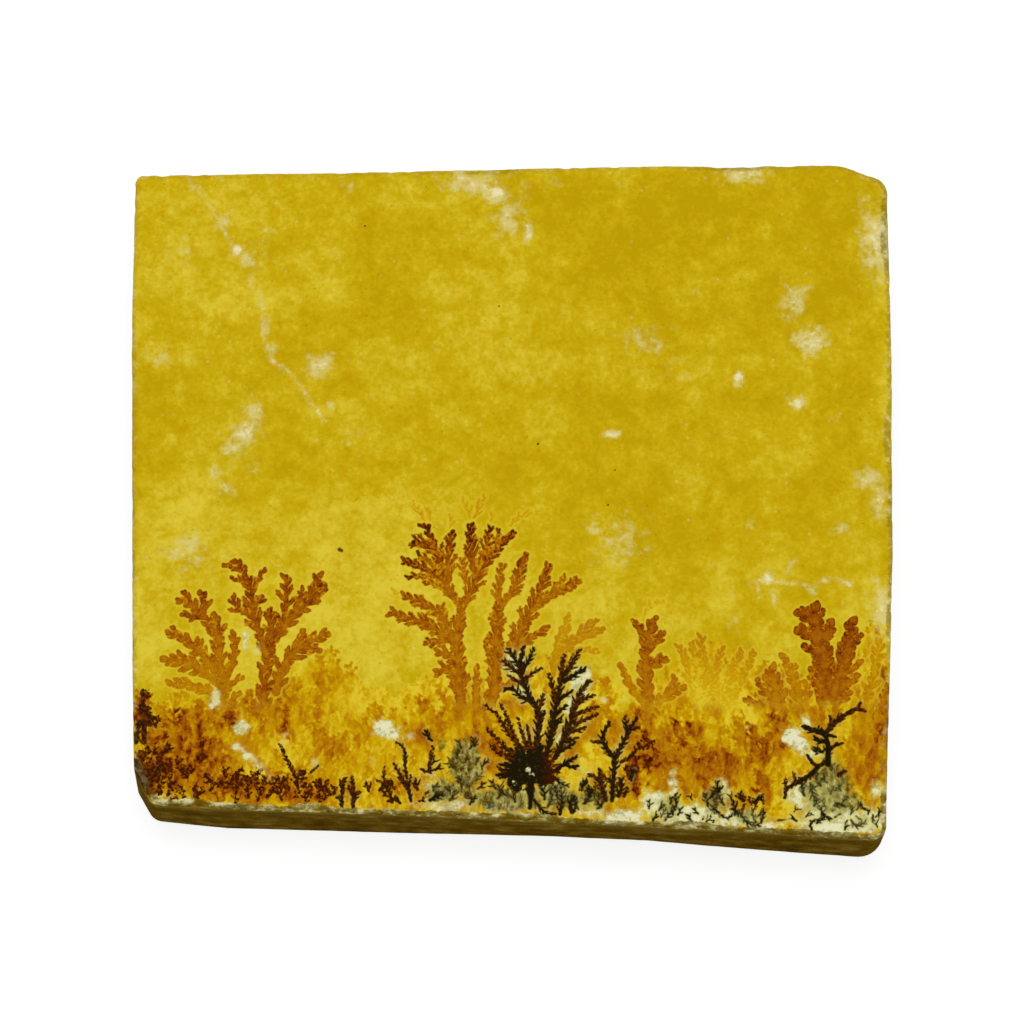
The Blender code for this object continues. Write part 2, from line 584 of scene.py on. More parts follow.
ORANGE = (0.65, 0.68)
RUSSET = (0.69, 0.81)
BUSHES = (
    Bush("left_russet_bush", Growth.LOBED, 11, stems(
        (0.45, 0.95, 0.7, 0.78, 267, 716, 264, 700, 265, 680, 267, 662, 271, 646, 275, 634),
        (0.5, 0.8, *RUSSET, 272, 640, 270, 622, 271, 608),
        (0.6, 0.8, *RUSSET, 276, 640, 283, 622, 286, 604, 286, 590, 287, 576),
        (0.6, 0.95, *RUSSET, 281, 630, 292, 616, 303, 606, 313, 597, 318, 584, 319, 575),
        (0.3, 0.75, *RUSSET, 316, 598, 324, 590, 326, 584),
        (0.2, 0.62, *RUSSET, 303, 607, 302, 595, 302, 586),
        (0.6, 0.95, *ORANGE, 276, 692, 280, 674, 288, 659, 300, 647, 314, 640, 328, 633),
        (0.3, 0.8, *ORANGE, 300, 647, 312, 649, 321, 650),
        (0.3, 0.9, *ORANGE, 298, 646, 302, 637, 304, 630),
        (0.2, 0.8, *ORANGE, 308, 641, 313, 634),
        (0.6, 0.8, *RUSSET, 266, 655, 262, 640, 256, 622, 252, 608, 252, 592, 247, 578, 240, 566,
         235, 560),
        (0.25, 0.62, *RUSSET, 252, 590, 259, 578, 265, 568),
        (0.2, 0.62, *RUSSET, 240, 570, 230, 567, 223, 564),
        (0.2, 0.6, *RUSSET, 246, 582, 238, 580, 231, 578),
        (0.3, 0.8, *RUSSET, 254, 606, 260, 600, 263, 597),
        (0.5, 0.68, *RUSSET, 253, 616, 244, 612, 236, 605, 232, 597),
        (0.2, 0.7, *RUSSET, 256, 628, 246, 622),
    )),
    Bush("left_orange_bush", Growth.LOBED, 12, stems(
        (0.5, 0.85, 0.58, 0.74, 222, 714, 222, 690, 221, 668, 219, 648, 214, 632, 208, 620, 200,
         612, 190, 604, 177, 599),
        (0.3, 0.75, *RUSSET, 193, 607, 188, 598, 185, 591),
        (0.4, 0.85, *RUSSET, 203, 613, 204, 602, 200, 591),
        (0.25, 0.7, *RUSSET, 200, 617, 190, 616, 181, 614),
        (0.45, 0.95, 0.64, 0.72, 219, 652, 219, 636, 217, 622, 214, 613),
        (0.3, 0.9, 0.62, 0.7, 224, 680, 232, 664, 235, 648, 234, 638, 232, 631),
        (0.45, 0.95, 0.6, 0.7, 214, 668, 202, 654, 190, 643, 178, 636, 168, 634),
        (0.25, 0.75, 0.68, 0.72, 184, 640, 176, 632, 171, 627),
        (0.3, 0.75, 0.6, 0.64, 208, 662, 203, 650, 200, 641),
        (0.45, 1.05, 0.58, 0.66, 217, 682, 202, 670, 186, 663, 172, 660, 162, 660),
        (0.2, 0.8, 0.62, 0.66, 192, 664, 182, 656, 178, 651),
        (0.4, 0.9, 0.5, 0.54, 216, 694, 200, 688, 184, 684, 169, 684),
        (0.25, 0.8, 0.6, 0.62, 224, 692, 234, 682, 243, 677),
        (0.3, 0.8, 0.54, 0.58, 224, 708, 232, 700, 240, 692),
    )),
    Bush("middle_fan", Growth.FEATHERED, 13, stems(
        (0.62, 1.5, *ORANGE, 462, 708, 459, 686, 458, 664, 457, 645, 458, 628, 461, 612, 462, 600),
        (0.62, 1.0, 0.6, 0.98, 458, 604, 448, 588, 443, 570, 438, 554, 431, 537, 424, 524),
        (0.5, 1.0, 0.6, 0.92, 447, 586, 432, 572, 416, 564, 404, 560),
        (0.3, 0.85, 0.62, 0.95, 432, 576, 419, 576, 407, 577),
        (0.5, 0.95, 0.66, 0.98, 438, 553, 426, 545, 413, 541),
        (0.35, 0.9, 0.66, 0.92, 431, 563, 418, 555),
        (0.3, 0.95, 0.62, 0.78, 450, 592, 436, 584, 423, 582),
        (0.5, 1.05, 0.62, 0.94, 449, 579, 448, 561, 450, 545, 452, 531),
        (0.55, 1.0, 0.62, 0.94, 465, 604, 473, 586, 481, 570, 491, 555, 503, 542, 513, 532),
        (0.1, 1.3, 0.86, 0.94, 504, 541, 509, 536, 513, 531),
        (0.5, 1.05, 0.62, 0.98, 475, 576, 472, 556, 470, 538, 471, 524),
        (0.5, 0.85, 0.62, 0.95, 482, 562, 487, 543, 490, 527),
        (0.3, 0.75, 0.62, 0.9, 498, 548, 497, 538, 500, 529),
        (0.4, 0.85, 0.6, 0.64, 466, 582, 464, 570, 463, 559),
        (0.62, 1.15, 0.62, 0.76, 454, 640, 440, 632, 426, 624, 408, 618, 389, 613),
        (0.4, 1.1, 0.64, 0.78, 446, 640, 434, 642, 425, 642),
        (0.5, 1.1, 0.6, 0.72, 450, 632, 442, 616, 426, 605, 404, 596),
        (0.3, 0.85, 0.6, 0.66, 446, 622, 444, 611, 443, 605),
        (0.4, 1.3, 0.62, 0.66, 458, 660, 446, 654, 438, 652),
        (0.4, 1.25, 0.62, 0.7, 458, 674, 446, 670, 436, 672),
        (0.6, 1.4, *ORANGE, 491, 708, 494, 686, 496, 660, 496, 636, 498, 616, 501, 600),
        (0.5, 1.0, 0.58, 0.66, 500, 604, 498, 590, 500, 576, 502, 564),
        (0.5, 1.05, 0.58, 0.8, 503, 604, 514, 588, 520, 572, 526, 557),
        (0.15, 1.5, 0.78, 0.86, 521, 564, 527, 554),
        (0.25, 0.9, *ORANGE, 500, 624, 490, 614),
        (0.55, 1.25, 0.62, 0.76, 504, 660, 514, 644, 524, 624, 534, 604, 542, 585, 548, 567),
        (0.2, 1.3, 0.76, 0.82, 543, 578, 551, 565),
        (0.5, 1.15, 0.58, 0.7, 532, 610, 543, 600, 556, 592, 568, 587, 580, 580),
        (0.3, 0.85, 0.56, 0.62, 556, 592, 561, 583, 565, 577),
        (0.35, 1.2, 0.64, 0.7, 512, 652, 524, 642, 537, 634, 549, 627),
        (0.3, 1.2, 0.6, 0.6, 476, 706, 476, 684, 477, 665),
        (0.25, 0.9, *ORANGE, 488, 652, 485, 641),
        (0.25, 1.3, 0.66, 0.7, 496, 690, 508, 686, 517, 682),
    )),
    Bush("right_of_middle_bush", Growth.LOBED, 14, stems(
        (0.55, 1.1, 0.62, 0.74, 650, 714, 648, 694, 646, 675, 646, 655, 648, 638, 652, 624),
        (0.2, 0.85, 0.72, 0.78, 651, 628, 654, 621, 656, 617),
        (0.25, 0.8, 0.72, 0.78, 642, 634, 637, 625, 632, 620),
        (0.3, 0.85, 0.68, 0.74, 650, 648, 658, 640, 664, 632),
        (0.35, 0.95, 0.66, 0.72, 648, 668, 657, 662, 666, 658),
        (0.3, 0.95, 0.5, 0.56, 644, 702, 634, 691, 627, 678, 620, 664),
        (0.4, 0.9, 0.48, 0.62, 656, 706, 666, 695, 676, 689, 685, 686),
        (0.25, 0.75, 0.5, 0.6, 670, 693, 673, 683, 674, 676),
    )),
    Bush("right_low_bush", Growth.LOBED, 15, stems(
        (0.7, 1.25, 0.56, 0.64, 786, 730, 780, 712, 776, 694, 773, 680, 771, 669),
        (0.45, 1.1, 0.52, 0.56, 800, 722, 800, 704, 797, 688, 791, 672, 784, 657),
        (0.2, 0.8, 0.5, 0.52, 792, 672, 795, 664),
        (0.3, 0.9, 0.52, 0.54, 804, 706, 807, 692, 805, 681),
        (0.3, 0.9, 0.6, 0.7, 774, 700, 764, 690, 757, 680),
        (0.25, 0.8, 0.6, 0.72, 764, 708, 753, 702, 744, 699),
        (0.4, 1.3, 0.6, 0.66, 775, 726, 765, 720, 757, 716),
    )),
    Bush("right_russet_bush", Growth.LOBED, 16, stems(
        (0.66, 1.6, 0.7, 0.84, 829, 728, 828, 706, 827, 686, 824, 664, 820, 642, 816, 622, 813,
         607),
        (0.34, 1.3, 0.78, 0.84, 818, 622, 806, 616, 798, 611),
        (0.34, 1.35, 0.74, 0.82, 820, 638, 806, 634, 797, 629),
        (0.28, 1.1, 0.8, 0.86, 822, 656, 811, 650, 803, 646),
        (0.32, 1.3, 0.74, 0.8, 821, 640, 829, 630, 832, 621),
        (0.2, 0.9, 0.8, 0.84, 818, 618, 823, 611),
        (0.5, 1.45, 0.72, 0.82, 832, 704, 838, 684, 844, 664, 849, 644, 851, 623),
        (0.3, 0.85, 0.78, 0.82, 849, 646, 857, 640, 861, 634),
        (0.3, 0.95, 0.66, 0.62, 842, 676, 853, 668, 862, 661),
        (0.3, 0.95, 0.68, 0.62, 840, 690, 851, 682, 859, 675),
        (0.35, 0.95, 0.7, 0.64, 834, 706, 843, 698, 850, 692),
        (0.3, 0.9, 0.72, 0.76, 822, 690, 814, 680, 811, 673),
    )),
    Bush("right_edge_stain", Growth.LOBED, 17, stems(
        (0.4, 0.9, 0.6, 0.68, 878, 770, 879, 740, 881, 715, 885, 690),
        (0.2, 0.8, 0.6, 0.6, 883, 700, 887, 684),
        (0.4, 0.9, 0.42, 0.48, 868, 706, 870, 690, 874, 672),
        (0.4, 0.9, 0.40, 0.44, 874, 672, 878, 654, 880, 640),
    )),
)
GOLD_SPRIGS = (
    Bush("gold_sprig", Growth.SPRIG, 21, stems(
        (0.7, 1.3, 0.5, 0.42, 553, 676, 558, 650, 562, 636, 570, 616),
        (0.7, 1.3, 0.5, 0.58, 560, 662, 570, 643, 584, 631, 596, 619),
        (0.5, 1.2, 0.5, 0.58, 580, 640, 592, 634, 604, 627),
        (0.45, 1.1, 0.42, 0.4, 572, 652, 588, 650, 600, 652),
    )),
    Bush("faint_tips", Growth.SPRIG, 22, stems(
        (0.6, 0.7, 0.34, 0.3, 424, 520, 418, 510, 411, 502),
        (0.5, 0.7, 0.34, 0.3, 430, 520, 428, 508),
        (0.5, 0.6, 0.34, 0.3, 450, 528, 452, 516),
        (0.6, 0.7, 0.34, 0.3, 470, 518, 467, 508, 463, 500),
        (0.6, 0.7, 0.4, 0.34, 474, 518, 480, 506, 484, 497),
        (0.4, 0.6, 0.34, 0.3, 490, 524, 492, 514),
        (0.6, 0.7, 0.34, 0.3, 510, 526, 518, 518, 532, 512),
        (0.5, 0.6, 0.3, 0.26, 644, 616, 650, 606, 664, 600),
        (0.4, 0.6, 0.32, 0.28, 404, 594, 392, 590),
    )),
    Bush("gold_fan", Growth.SPRIG, 23, stems(
        (0.7, 1.15, 0.12, 0.52, 700, 716, 694, 690, 687, 664, 679, 646),
        (0.7, 1.15, 0.10, 0.54, 702, 714, 699, 690, 696, 662, 692, 643),
        (0.75, 1.15, 0.10, 0.58, 704, 714, 704, 686, 702, 660, 701, 636),
        (0.7, 1.15, 0.10, 0.56, 708, 716, 712, 690, 718, 664, 722, 647),
        (0.7, 1.15, 0.12, 0.52, 714, 716, 724, 694, 734, 668, 741, 650),
        (0.7, 1.15, 0.14, 0.52, 718, 718, 732, 700, 745, 672, 754, 652),
    )),
)
FERNS = (
    Bush("great_fern", Growth.FERN, 31, stems(
        (0.55, 1.1, 0.35, 0.2, 532, 756, 537, 740, 539, 724, 539, 714, 535, 704, 529, 695, 523, 680,
         521, 664, 523, 647),
        (0.6, 0.95, 0.2, 0.3, 521, 670, 515, 659, 509, 649),
        (0.55, 0.9, 0.3, 0.6, 520, 674, 509, 666, 502, 660),
        (0.5, 0.8, 0.1, 0.15, 524, 669, 530, 658, 534, 648),
        (0.35, 0.75, 0.4, 0.5, 525, 680, 534, 672, 542, 668),
        (0.55, 0.9, 0.2, 0.15, 532, 702, 521, 697, 512, 688, 504, 690),
        (0.3, 0.75, 0.3, 0.5, 524, 686, 516, 680, 507, 675),
        (0.3, 1.0, 0.5, 0.6, 538, 712, 542, 700, 543, 694),
        (0.3, 0.95, 0.3, 0.4, 539, 724, 545, 711),
        (0.7, 1.1, 0.2, 0.25, 546, 756, 551, 736, 554, 719, 557, 700, 560, 684, 565, 671),
        (0.4, 1.0, 0.4, 0.75, 560, 683, 562, 668, 564, 655),
        (0.5, 1.0, 0.3, 0.6, 564, 675, 572, 664, 579, 650),
        (0.45, 0.95, 0.2, 0.1, 564, 682, 576, 674, 585, 669),
        (0.4, 0.9, 0.4, 0.8, 556, 702, 552, 686, 548, 674),
        (0.35, 0.9, 0.1, 0.1, 558, 700, 566, 695, 573, 690),
        (0.3, 0.85, 0.1, 0.1, 556, 715, 561, 710, 567, 705),
        (0.3, 0.8, 0.1, 0.1, 555, 726, 562, 720),
        (0.6, 1.15, 0.2, 0.5, 555, 758, 564, 738, 571, 722, 576, 704, 580, 693, 590, 680),
        (0.3, 0.85, 0.4, 0.6, 578, 704, 586, 698, 595, 695),
        (0.3, 0.95, 0.5, 0.7, 577, 714, 588, 710, 598, 706),
        (0.35, 0.95, 0.5, 0.7, 575, 724, 587, 719, 598, 714),
        (0.3, 0.9, 0.4, 0.6, 570, 732, 578, 730, 586, 727),
        (0.3, 0.85, 0.2, 0.3, 566, 742, 572, 740, 578, 737),
        (0.3, 0.7, 0.2, 0.2, 580, 694, 583, 688, 584, 684),
        (0.3, 0.8, 0.1, 0.1, 560, 752, 568, 747, 576, 742),
        (0.4, 0.9, 0.1, 0.05, 556, 770, 567, 762, 577, 757),
        (0.35, 0.9, 0.1, 0.05, 564, 764, 572, 767, 579, 766),
        (0.4, 0.95, 0.5, 0.85, 524, 750, 516, 742, 506, 729, 496, 714, 485, 705),
        (0.3, 0.95, 0.5, 0.8, 527, 748, 519, 746, 513, 733, 507, 717, 501, 704),
        (0.25, 0.85, 0.6, 0.8, 528, 748, 524, 740, 521, 729, 517, 717),
        (0.25, 0.95, 0.5, 0.7, 531, 748, 529, 736, 527, 725),
        (0.35, 0.95, 0.6, 0.9, 518, 754, 508, 750, 496, 738, 486, 728),
        (0.45, 1.0, 0.6, 0.95, 514, 760, 504, 755, 491, 747),
        (0.3, 0.8, 0.6, 0.8, 507, 774, 501, 770, 496, 766),
        (0.3, 1.6, 0.1, 0.1, 531, 778, 531, 792, 530, 808),
        (0.4, 0.75, 0.1, 0.1, 554, 778, 562, 784, 568, 786),
        (0.6, 0.9, 0.2, 0.3, 560, 814, 562, 800, 560, 788),
        (0.4, 1.1, 0.2, 0.2, 572, 812, 570, 804, 574, 796),
        (0.5, 0.8, 0.1, 0.1, 534, 800, 545, 812, 556, 815),
        (0.4, 0.7, 0.3, 0.2, 548, 806, 552, 797, 550, 788),
    )),
    Bush("small_fern", Growth.FERN, 32, stems(
        (0.45, 1.05, 0.2, 0.3, 612, 800, 613, 785, 614, 770, 616, 756, 624, 741, 630, 729, 637,
         718),
        (0.4, 0.85, 0.2, 0.25, 627, 735, 626, 725, 625, 716),
        (0.3, 0.75, 0.3, 0.4, 630, 730, 640, 727),
        (0.45, 1.0, 0.2, 0.25, 615, 758, 606, 748, 603, 735, 610, 722),
        (0.2, 0.9, 0.4, 0.5, 602, 741, 596, 742, 591, 741),
        (0.35, 0.85, 0.5, 0.9, 621, 762, 629, 758, 636, 750, 641, 741),
        (0.35, 0.95, 0.8, 0.95, 638, 748, 647, 746, 655, 743),
        (0.3, 1.1, 0.5, 0.7, 630, 778, 626, 766),
        (0.45, 0.95, 0.3, 0.6, 606, 800, 603, 789, 598, 779, 588, 774),
        (0.4, 1.0, 0.5, 0.6, 601, 784, 601, 775, 599, 768),
        (0.5, 0.9, 0.2, 0.15, 618, 796, 622, 786, 620, 778),
        (0.3, 0.9, 0.4, 0.5, 624, 796, 628, 788),
    )),
    Bush("right_fern", Growth.FERN, 33, stems(
        (0.2, 1.5, 0.05, 0.1, 828, 764, 828, 757, 828, 746, 825, 735, 821, 730),
        (0.35, 1.1, 0.2, 0.1, 823, 733, 811, 730, 803, 726),
        (0.4, 1.1, 0.3, 0.55, 825, 734, 830, 728, 839, 719, 848, 713, 858, 708, 860, 702),
        (0.25, 1.0, 0.5, 0.5, 856, 709, 866, 711),
        (0.3, 0.9, 0.3, 0.4, 828, 730, 831, 722, 830, 716),
        (0.4, 0.95, 0.1, 0.1, 827, 742, 818, 741, 814, 736),
        (0.25, 1.0, 0.4, 0.6, 830, 748, 837, 745, 843, 743),
        (0.2, 0.9, 0.1, 0.1, 828, 735, 836, 737),
        (0.2, 1.1, 0.2, 0.4, 826, 762, 818, 766, 812, 762, 807, 755),
        (0.35, 1.15, 0.1, 0.35, 818, 767, 814, 771, 806, 778, 796, 783, 787, 789, 785, 798),
        (0.2, 1.0, 0.7, 0.95, 786, 790, 785, 784, 785, 777),
        (0.2, 0.8, 0.4, 0.6, 796, 783, 794, 776, 793, 771),
        (0.2, 1.2, 0.5, 0.6, 839, 775, 845, 771),
    )),
    Bush("left_edge_fern", Growth.FERN, 34, stems(
        (0.35, 1.3, 0.6, 0.6, 144, 742, 144, 724, 144, 711, 143, 702, 142, 691),
        (0.4, 1.2, 0.6, 0.8, 144, 711, 151, 717, 159, 720),
        (0.3, 0.9, 0.5, 0.5, 143, 698, 149, 693),
        (0.3, 0.9, 0.5, 0.6, 144, 712, 151, 708),
        (0.4, 1.1, 0.3, 0.6, 137, 725, 147, 722, 156, 725),
        (0.3, 1.1, 0.2, 0.3, 136, 742, 136, 732),
    )),
)
SHRUBS = (
    Bush("low_black_shrubs", Growth.SHRUB, 41, stems(
        (0.5, 1.3, 0.5, 0.75, 298, 788, 295, 776, 290, 766, 285, 756, 280, 744),
        (0.4, 1.0, 0.5, 0.6, 297, 780, 300, 770),
        (0.3, 1.2, 0.5, 0.4, 311, 772, 318, 766),
        (0.6, 1.2, 0.3, 0.5, 342, 808, 342, 791, 345, 778),
        (0.6, 1.3, 0.3, 0.6, 353, 809, 353, 791, 352, 776),
        (0.3, 1.1, 0.2, 0.2, 342, 797, 336, 798),
        (0.7, 1.3, 0.3, 0.5, 411, 801, 408, 788, 401, 777, 394, 763),
        (0.5, 1.2, 0.4, 0.2, 407, 778, 405, 766, 405, 753, 402, 746, 396, 742),
        (0.4, 1.1, 0.3, 0.4, 408, 788, 411, 775),
        (0.5, 1.4, 0.5, 0.7, 392, 802, 387, 786, 377, 780),
        (0.4, 1.1, 0.5, 0.6, 387, 790, 384, 778, 384, 767),
        (0.5, 1.2, 0.2, 0.3, 400, 803, 395, 796),
        (0.5, 1.2, 0.5, 0.8, 428, 772, 430, 764, 431, 756, 433, 746),
        (0.4, 1.2, 0.4, 0.5, 421, 769, 428, 772, 435, 769),
        (0.8, 1.6, 0.1, 0.1, 430, 800, 436, 797, 443, 794),
        (0.6, 1.3, 0.3, 0.4, 388, 801, 398, 800),
    )),
    Bush("trees_on_the_cream_strip", Growth.SHRUB, 42, stems(
        (0.9, 1.1, 0.05, 0.1, 676, 806, 676, 794),
        (0.7, 1.0, 0.05, 0.1, 665, 821, 670, 813, 677, 807),
        (0.5, 0.7, 0.05, 0.05, 661, 817, 666, 808),
        (0.8, 1.1, 0.05, 0.1, 708, 806, 705, 794),
        (0.5, 1.1, 0.05, 0.1, 710, 798, 717, 790, 723, 787),
        (0.4, 1.0, 0.05, 0.1, 724, 805, 718, 794),
        (0.6, 1.0, 0.05, 0.1, 714, 808, 722, 816, 728, 818, 732, 815),
        (0.8, 1.05, 0.05, 0.1, 740, 813, 748, 823, 761, 826),
        (0.5, 0.9, 0.05, 0.1, 756, 822, 752, 812, 757, 806),
        (0.5, 1.0, 0.3, 0.6, 742, 814, 744, 804),
        (0.7, 1.5, 0.8, 0.9, 737, 796, 746, 799, 757, 803),
        (0.0, 1.0, 0.05, 0.05, 682, 824, 683, 822),
        (0.0, 1.0, 0.05, 0.05, 713, 822, 714, 820),
        (0.3, 0.9, 0.05, 0.05, 703, 819, 704, 817),
        (0.0, 1.1, 0.6, 0.6, 778, 820, 788, 820),
    )),
    Bush("twigs_in_the_right_corner", Growth.SHRUB, 43, stems(
        (0.8, 1.0, 0.0, 0.0, 810, 783, 813, 795, 817, 803),
        (0.5, 0.8, 0.0, 0.0, 803, 782, 801, 790),
        (0.4, 1.2, 0.1, 0.1, 836, 803, 847, 807),
        (0.5, 1.2, 0.05, 0.05, 822, 812, 826, 817, 832, 819),
        (0.3, 1.1, 0.05, 0.05, 812, 830, 811, 822, 824, 818),
        (0.7, 0.9, 0.0, 0.0, 851, 820, 857, 826, 866, 821),
        (0.4, 1.0, 0.05, 0.05, 873, 815, 873, 822),
        (0.4, 0.8, 0.0, 0.0, 856, 816, 861, 820),
        (0.0, 1.0, 0.0, 0.0, 846, 833, 848, 834),
    )),
    Bush("dark_corner_thicket", Growth.SHRUB, 44, stems(
        (1.2, 2.0, 0.7, 0.5, 150, 792, 146, 778, 140, 766, 137, 760),
        (1.0, 1.6, 0.8, 0.7, 160, 794, 158, 780, 152, 768),
        (0.8, 2.2, 0.3, 0.4, 142, 786, 140, 776),
        (0.8, 1.2, 0.9, 0.9, 172, 790, 168, 776, 166, 764),
        (0.6, 1.2, 0.8, 0.8, 184, 800, 182, 790, 178, 784),
        (0.8, 1.2, 0.8, 0.9, 236, 802, 234, 790, 236, 780),
        (0.8, 1.2, 0.7, 0.8, 248, 798, 248, 786, 246, 778),
        (0.8, 1.3, 0.7, 0.9, 258, 800, 260, 790, 256, 782),
        (0.7, 1.2, 0.8, 0.9, 282, 800, 280, 790, 284, 782),
        (0.7, 1.2, 0.8, 0.9, 305, 803, 308, 793, 304, 785),
        (0.6, 1.0, 0.8, 0.9, 320, 801, 318, 790, 322, 780),
    )),
)


# The exponent at which a stain has faded to half
HALVING = 0.69


@dataclass(frozen=True)
class Blot:
    """A soft round stain: its middle and its reach in photo pixels, and its strength."""
    x: float
    y: float
    reach_x: float
    reach_y: float
    strength: float = 1.0


def blots(*rows: tuple[float, ...]) -> tuple[Blot, ...]:
    """Return blots from rows of their numbers."""
    return tuple(Blot(*row) for row in rows)


def stained(stains: tuple[Blot, ...], points: np.ndarray, flatness: float = 2.0) -> np.ndarray:
    """Return how strongly blots stain points of the face, the strongest of them counting.

    Args:
        stains: the blots.
        points: places in millimetres, one row each.
        flatness: 1 for a stain that fades from its middle on, 2 for one with a flat top.

    Returns:
        A strength for each point.
    """
    total = np.zeros(len(points))
    for blot in stains:
        x, y = VIEW.on_face((blot.x, blot.y))
        away = ((points[:, 0] - x) / VIEW.length(blot.reach_x)) ** 2
        away += ((points[:, 1] - y) / VIEW.length(blot.reach_y)) ** 2
        total = np.maximum(total, blot.strength * np.exp(-HALVING * away ** flatness))
    return total


CREAM = blots(
    (383, 728, 11, 10, 1.1), (391, 733, 10, 8, 1.0), (404, 737, 7, 5, 0.6), (791, 736, 9, 9, 1.15),
    (800, 744, 9, 8, 1.15), (798, 730, 7, 5, 0.8), (806, 722, 6, 10, 0.8), (812, 753, 9, 6, 0.9),
    (804, 752, 6, 5, 0.8), (624, 817, 22, 9), (655, 803, 16, 14), (673, 785, 6, 16, 0.8),
    (690, 815, 34, 11, 1.1), (735, 820, 30, 9), (724, 790, 8, 12, 0.8), (765, 826, 20, 6, 0.8),
    (800, 792, 16, 12), (835, 822, 40, 14, 1.2), (820, 800, 28, 20, 0.9), (868, 822, 18, 14),
    (876, 790, 7, 10, 0.8), (446, 805, 30, 9, 0.8), (430, 782, 10, 14, 0.6),
    (555, 790, 20, 10, 0.75), (590, 812, 20, 8, 0.7), (500, 806, 30, 9, 0.75),
    (585, 770, 10, 14, 0.5), (372, 760, 7, 10, 0.4), (480, 760, 8, 14, 0.4),
    (515, 665, 11, 13, 0.9), (523, 693, 7, 10, 0.9), (581, 680, 12, 16, 1.05),
    (571, 706, 8, 14, 0.95), (560, 738, 5, 16, 0.8), (505, 704, 22, 7, 0.25),
    (543, 708, 4, 22, 0.75), (746, 720, 5, 11, 0.45), (528, 735, 12, 9, 0.6), (586, 722, 8, 6, 0.5),
    (620, 750, 6, 12, 0.5), (530, 772, 5, 7, 1.2), (514, 782, 4, 4, 1.2), (523, 793, 4, 8, 0.7),
    (549, 798, 7, 12, 0.8), (236, 806, 16, 3, 0.8), (160, 798, 14, 4, 0.6), (216, 697, 5, 9, 1.0),
    (211, 706, 5, 4, 0.8), (241, 727, 8, 8, 1.0), (236, 746, 6, 5, 0.8), (247, 756, 7, 4, 0.85),
    (258, 765, 7, 4, 0.75), (246, 641, 4, 12, 0.8),
)
CLOUD = blots(
    (465, 768, 16, 30, 0.85), (446, 792, 18, 13, 0.75), (500, 800, 34, 12, 0.8),
    (832, 788, 18, 26, 0.95), (812, 792, 9, 12, 0.9), (846, 802, 18, 12, 0.7),
    (590, 800, 26, 12, 0.6), (668, 806, 12, 12, 0.6), (714, 800, 14, 14, 0.6),
    (746, 818, 18, 9, 0.6), (558, 796, 24, 14, 0.7), (530, 802, 24, 9, 0.6), (440, 745, 8, 12, 0.5),
    (812, 800, 12, 12, 0.5), (860, 822, 12, 8, 0.5),
)
BROWN = blots(
    (192, 735, 50, 30, 0.77), (180, 765, 46, 26, 0.87), (150, 775, 20, 20, 0.98),
    (205, 782, 28, 16, 0.90), (250, 790, 34, 14, 0.82), (305, 790, 36, 16, 0.84),
    (288, 704, 12, 32, 0.64), (240, 745, 14, 30, 0.66), (222, 700, 20, 20, 0.58),
    (262, 700, 8, 28, 0.68), (325, 745, 26, 26, 0.52), (345, 720, 60, 40, 0.42),
    (372, 765, 20, 20, 0.46), (420, 730, 20, 30, 0.62), (440, 712, 24, 24, 0.58),
    (350, 792, 24, 10, 0.55), (375, 790, 22, 12, 0.60), (408, 790, 20, 14, 0.66),
    (465, 700, 26, 24, 0.60), (500, 700, 30, 24, 0.60), (480, 740, 24, 24, 0.66),
    (495, 765, 14, 16, 0.74), (565, 745, 26, 26, 0.62), (590, 730, 20, 26, 0.50),
    (640, 735, 40, 34, 0.66), (655, 755, 28, 16, 0.80), (640, 772, 18, 8, 0.86),
    (661, 712, 9, 9, 0.86), (692, 730, 14, 12, 0.76), (700, 760, 50, 28, 0.75),
    (725, 770, 26, 18, 0.66), (748, 796, 16, 12, 0.90), (690, 700, 40, 24, 0.46),
    (760, 745, 34, 30, 0.66), (790, 700, 44, 30, 0.56), (775, 725, 22, 16, 0.68),
    (868, 745, 24, 44, 0.66), (885, 705, 9, 36, 0.68), (866, 775, 18, 18, 0.62),
    (770, 790, 34, 16, 0.56), (800, 812, 22, 14, 0.44), (820, 720, 22, 18, 0.60),
    (610, 780, 30, 14, 0.62), (862, 690, 14, 30, 0.46), (330, 690, 30, 30, 0.44),
    (142, 712, 12, 24, 0.86),
)
YELLOW = blots(
    (503, 693, 22, 7, 0.9), (155, 688, 26, 10, 0.8), (253, 660, 6, 46, 1.0),
    (395, 688, 30, 12, 0.9), (742, 713, 12, 13, 0.9), (755, 724, 8, 8, 0.9), (365, 788, 9, 12, 0.9),
    (590, 755, 12, 14, 0.8), (477, 650, 6, 24, 0.9), (620, 690, 9, 22, 0.9), (160, 800, 20, 4, 0.6),
    (770, 665, 8, 8, 0.7), (215, 776, 8, 5, 0.6), (355, 700, 20, 16, 0.4), (300, 742, 7, 12, 0.5),
    (440, 690, 8, 10, 0.5), (864, 690, 8, 10, 0.6), (790, 806, 20, 7, 0.6), (257, 774, 7, 5, 0.6),
    (385, 702, 14, 12, 0.5), (590, 700, 8, 12, 0.5), (812, 690, 4, 14, 0.6),
)
PALE_GROUND = blots(
    (330, 600, 130, 110, 0.9), (180, 560, 60, 60, 0.8), (430, 640, 90, 60, 0.9),
    (600, 620, 60, 60, 0.7), (700, 600, 70, 40, 0.35), (370, 640, 60, 50, 1.0),
    (620, 660, 26, 40, 0.8), (560, 560, 60, 70, 0.4), (250, 250, 120, 110, 0.12),
    (150, 640, 26, 50, 0.8), (780, 640, 24, 30, 0.6), (470, 380, 130, 80, 0.25),
    (820, 560, 50, 40, 0.3), (880, 640, 14, 40, 0.3),
)
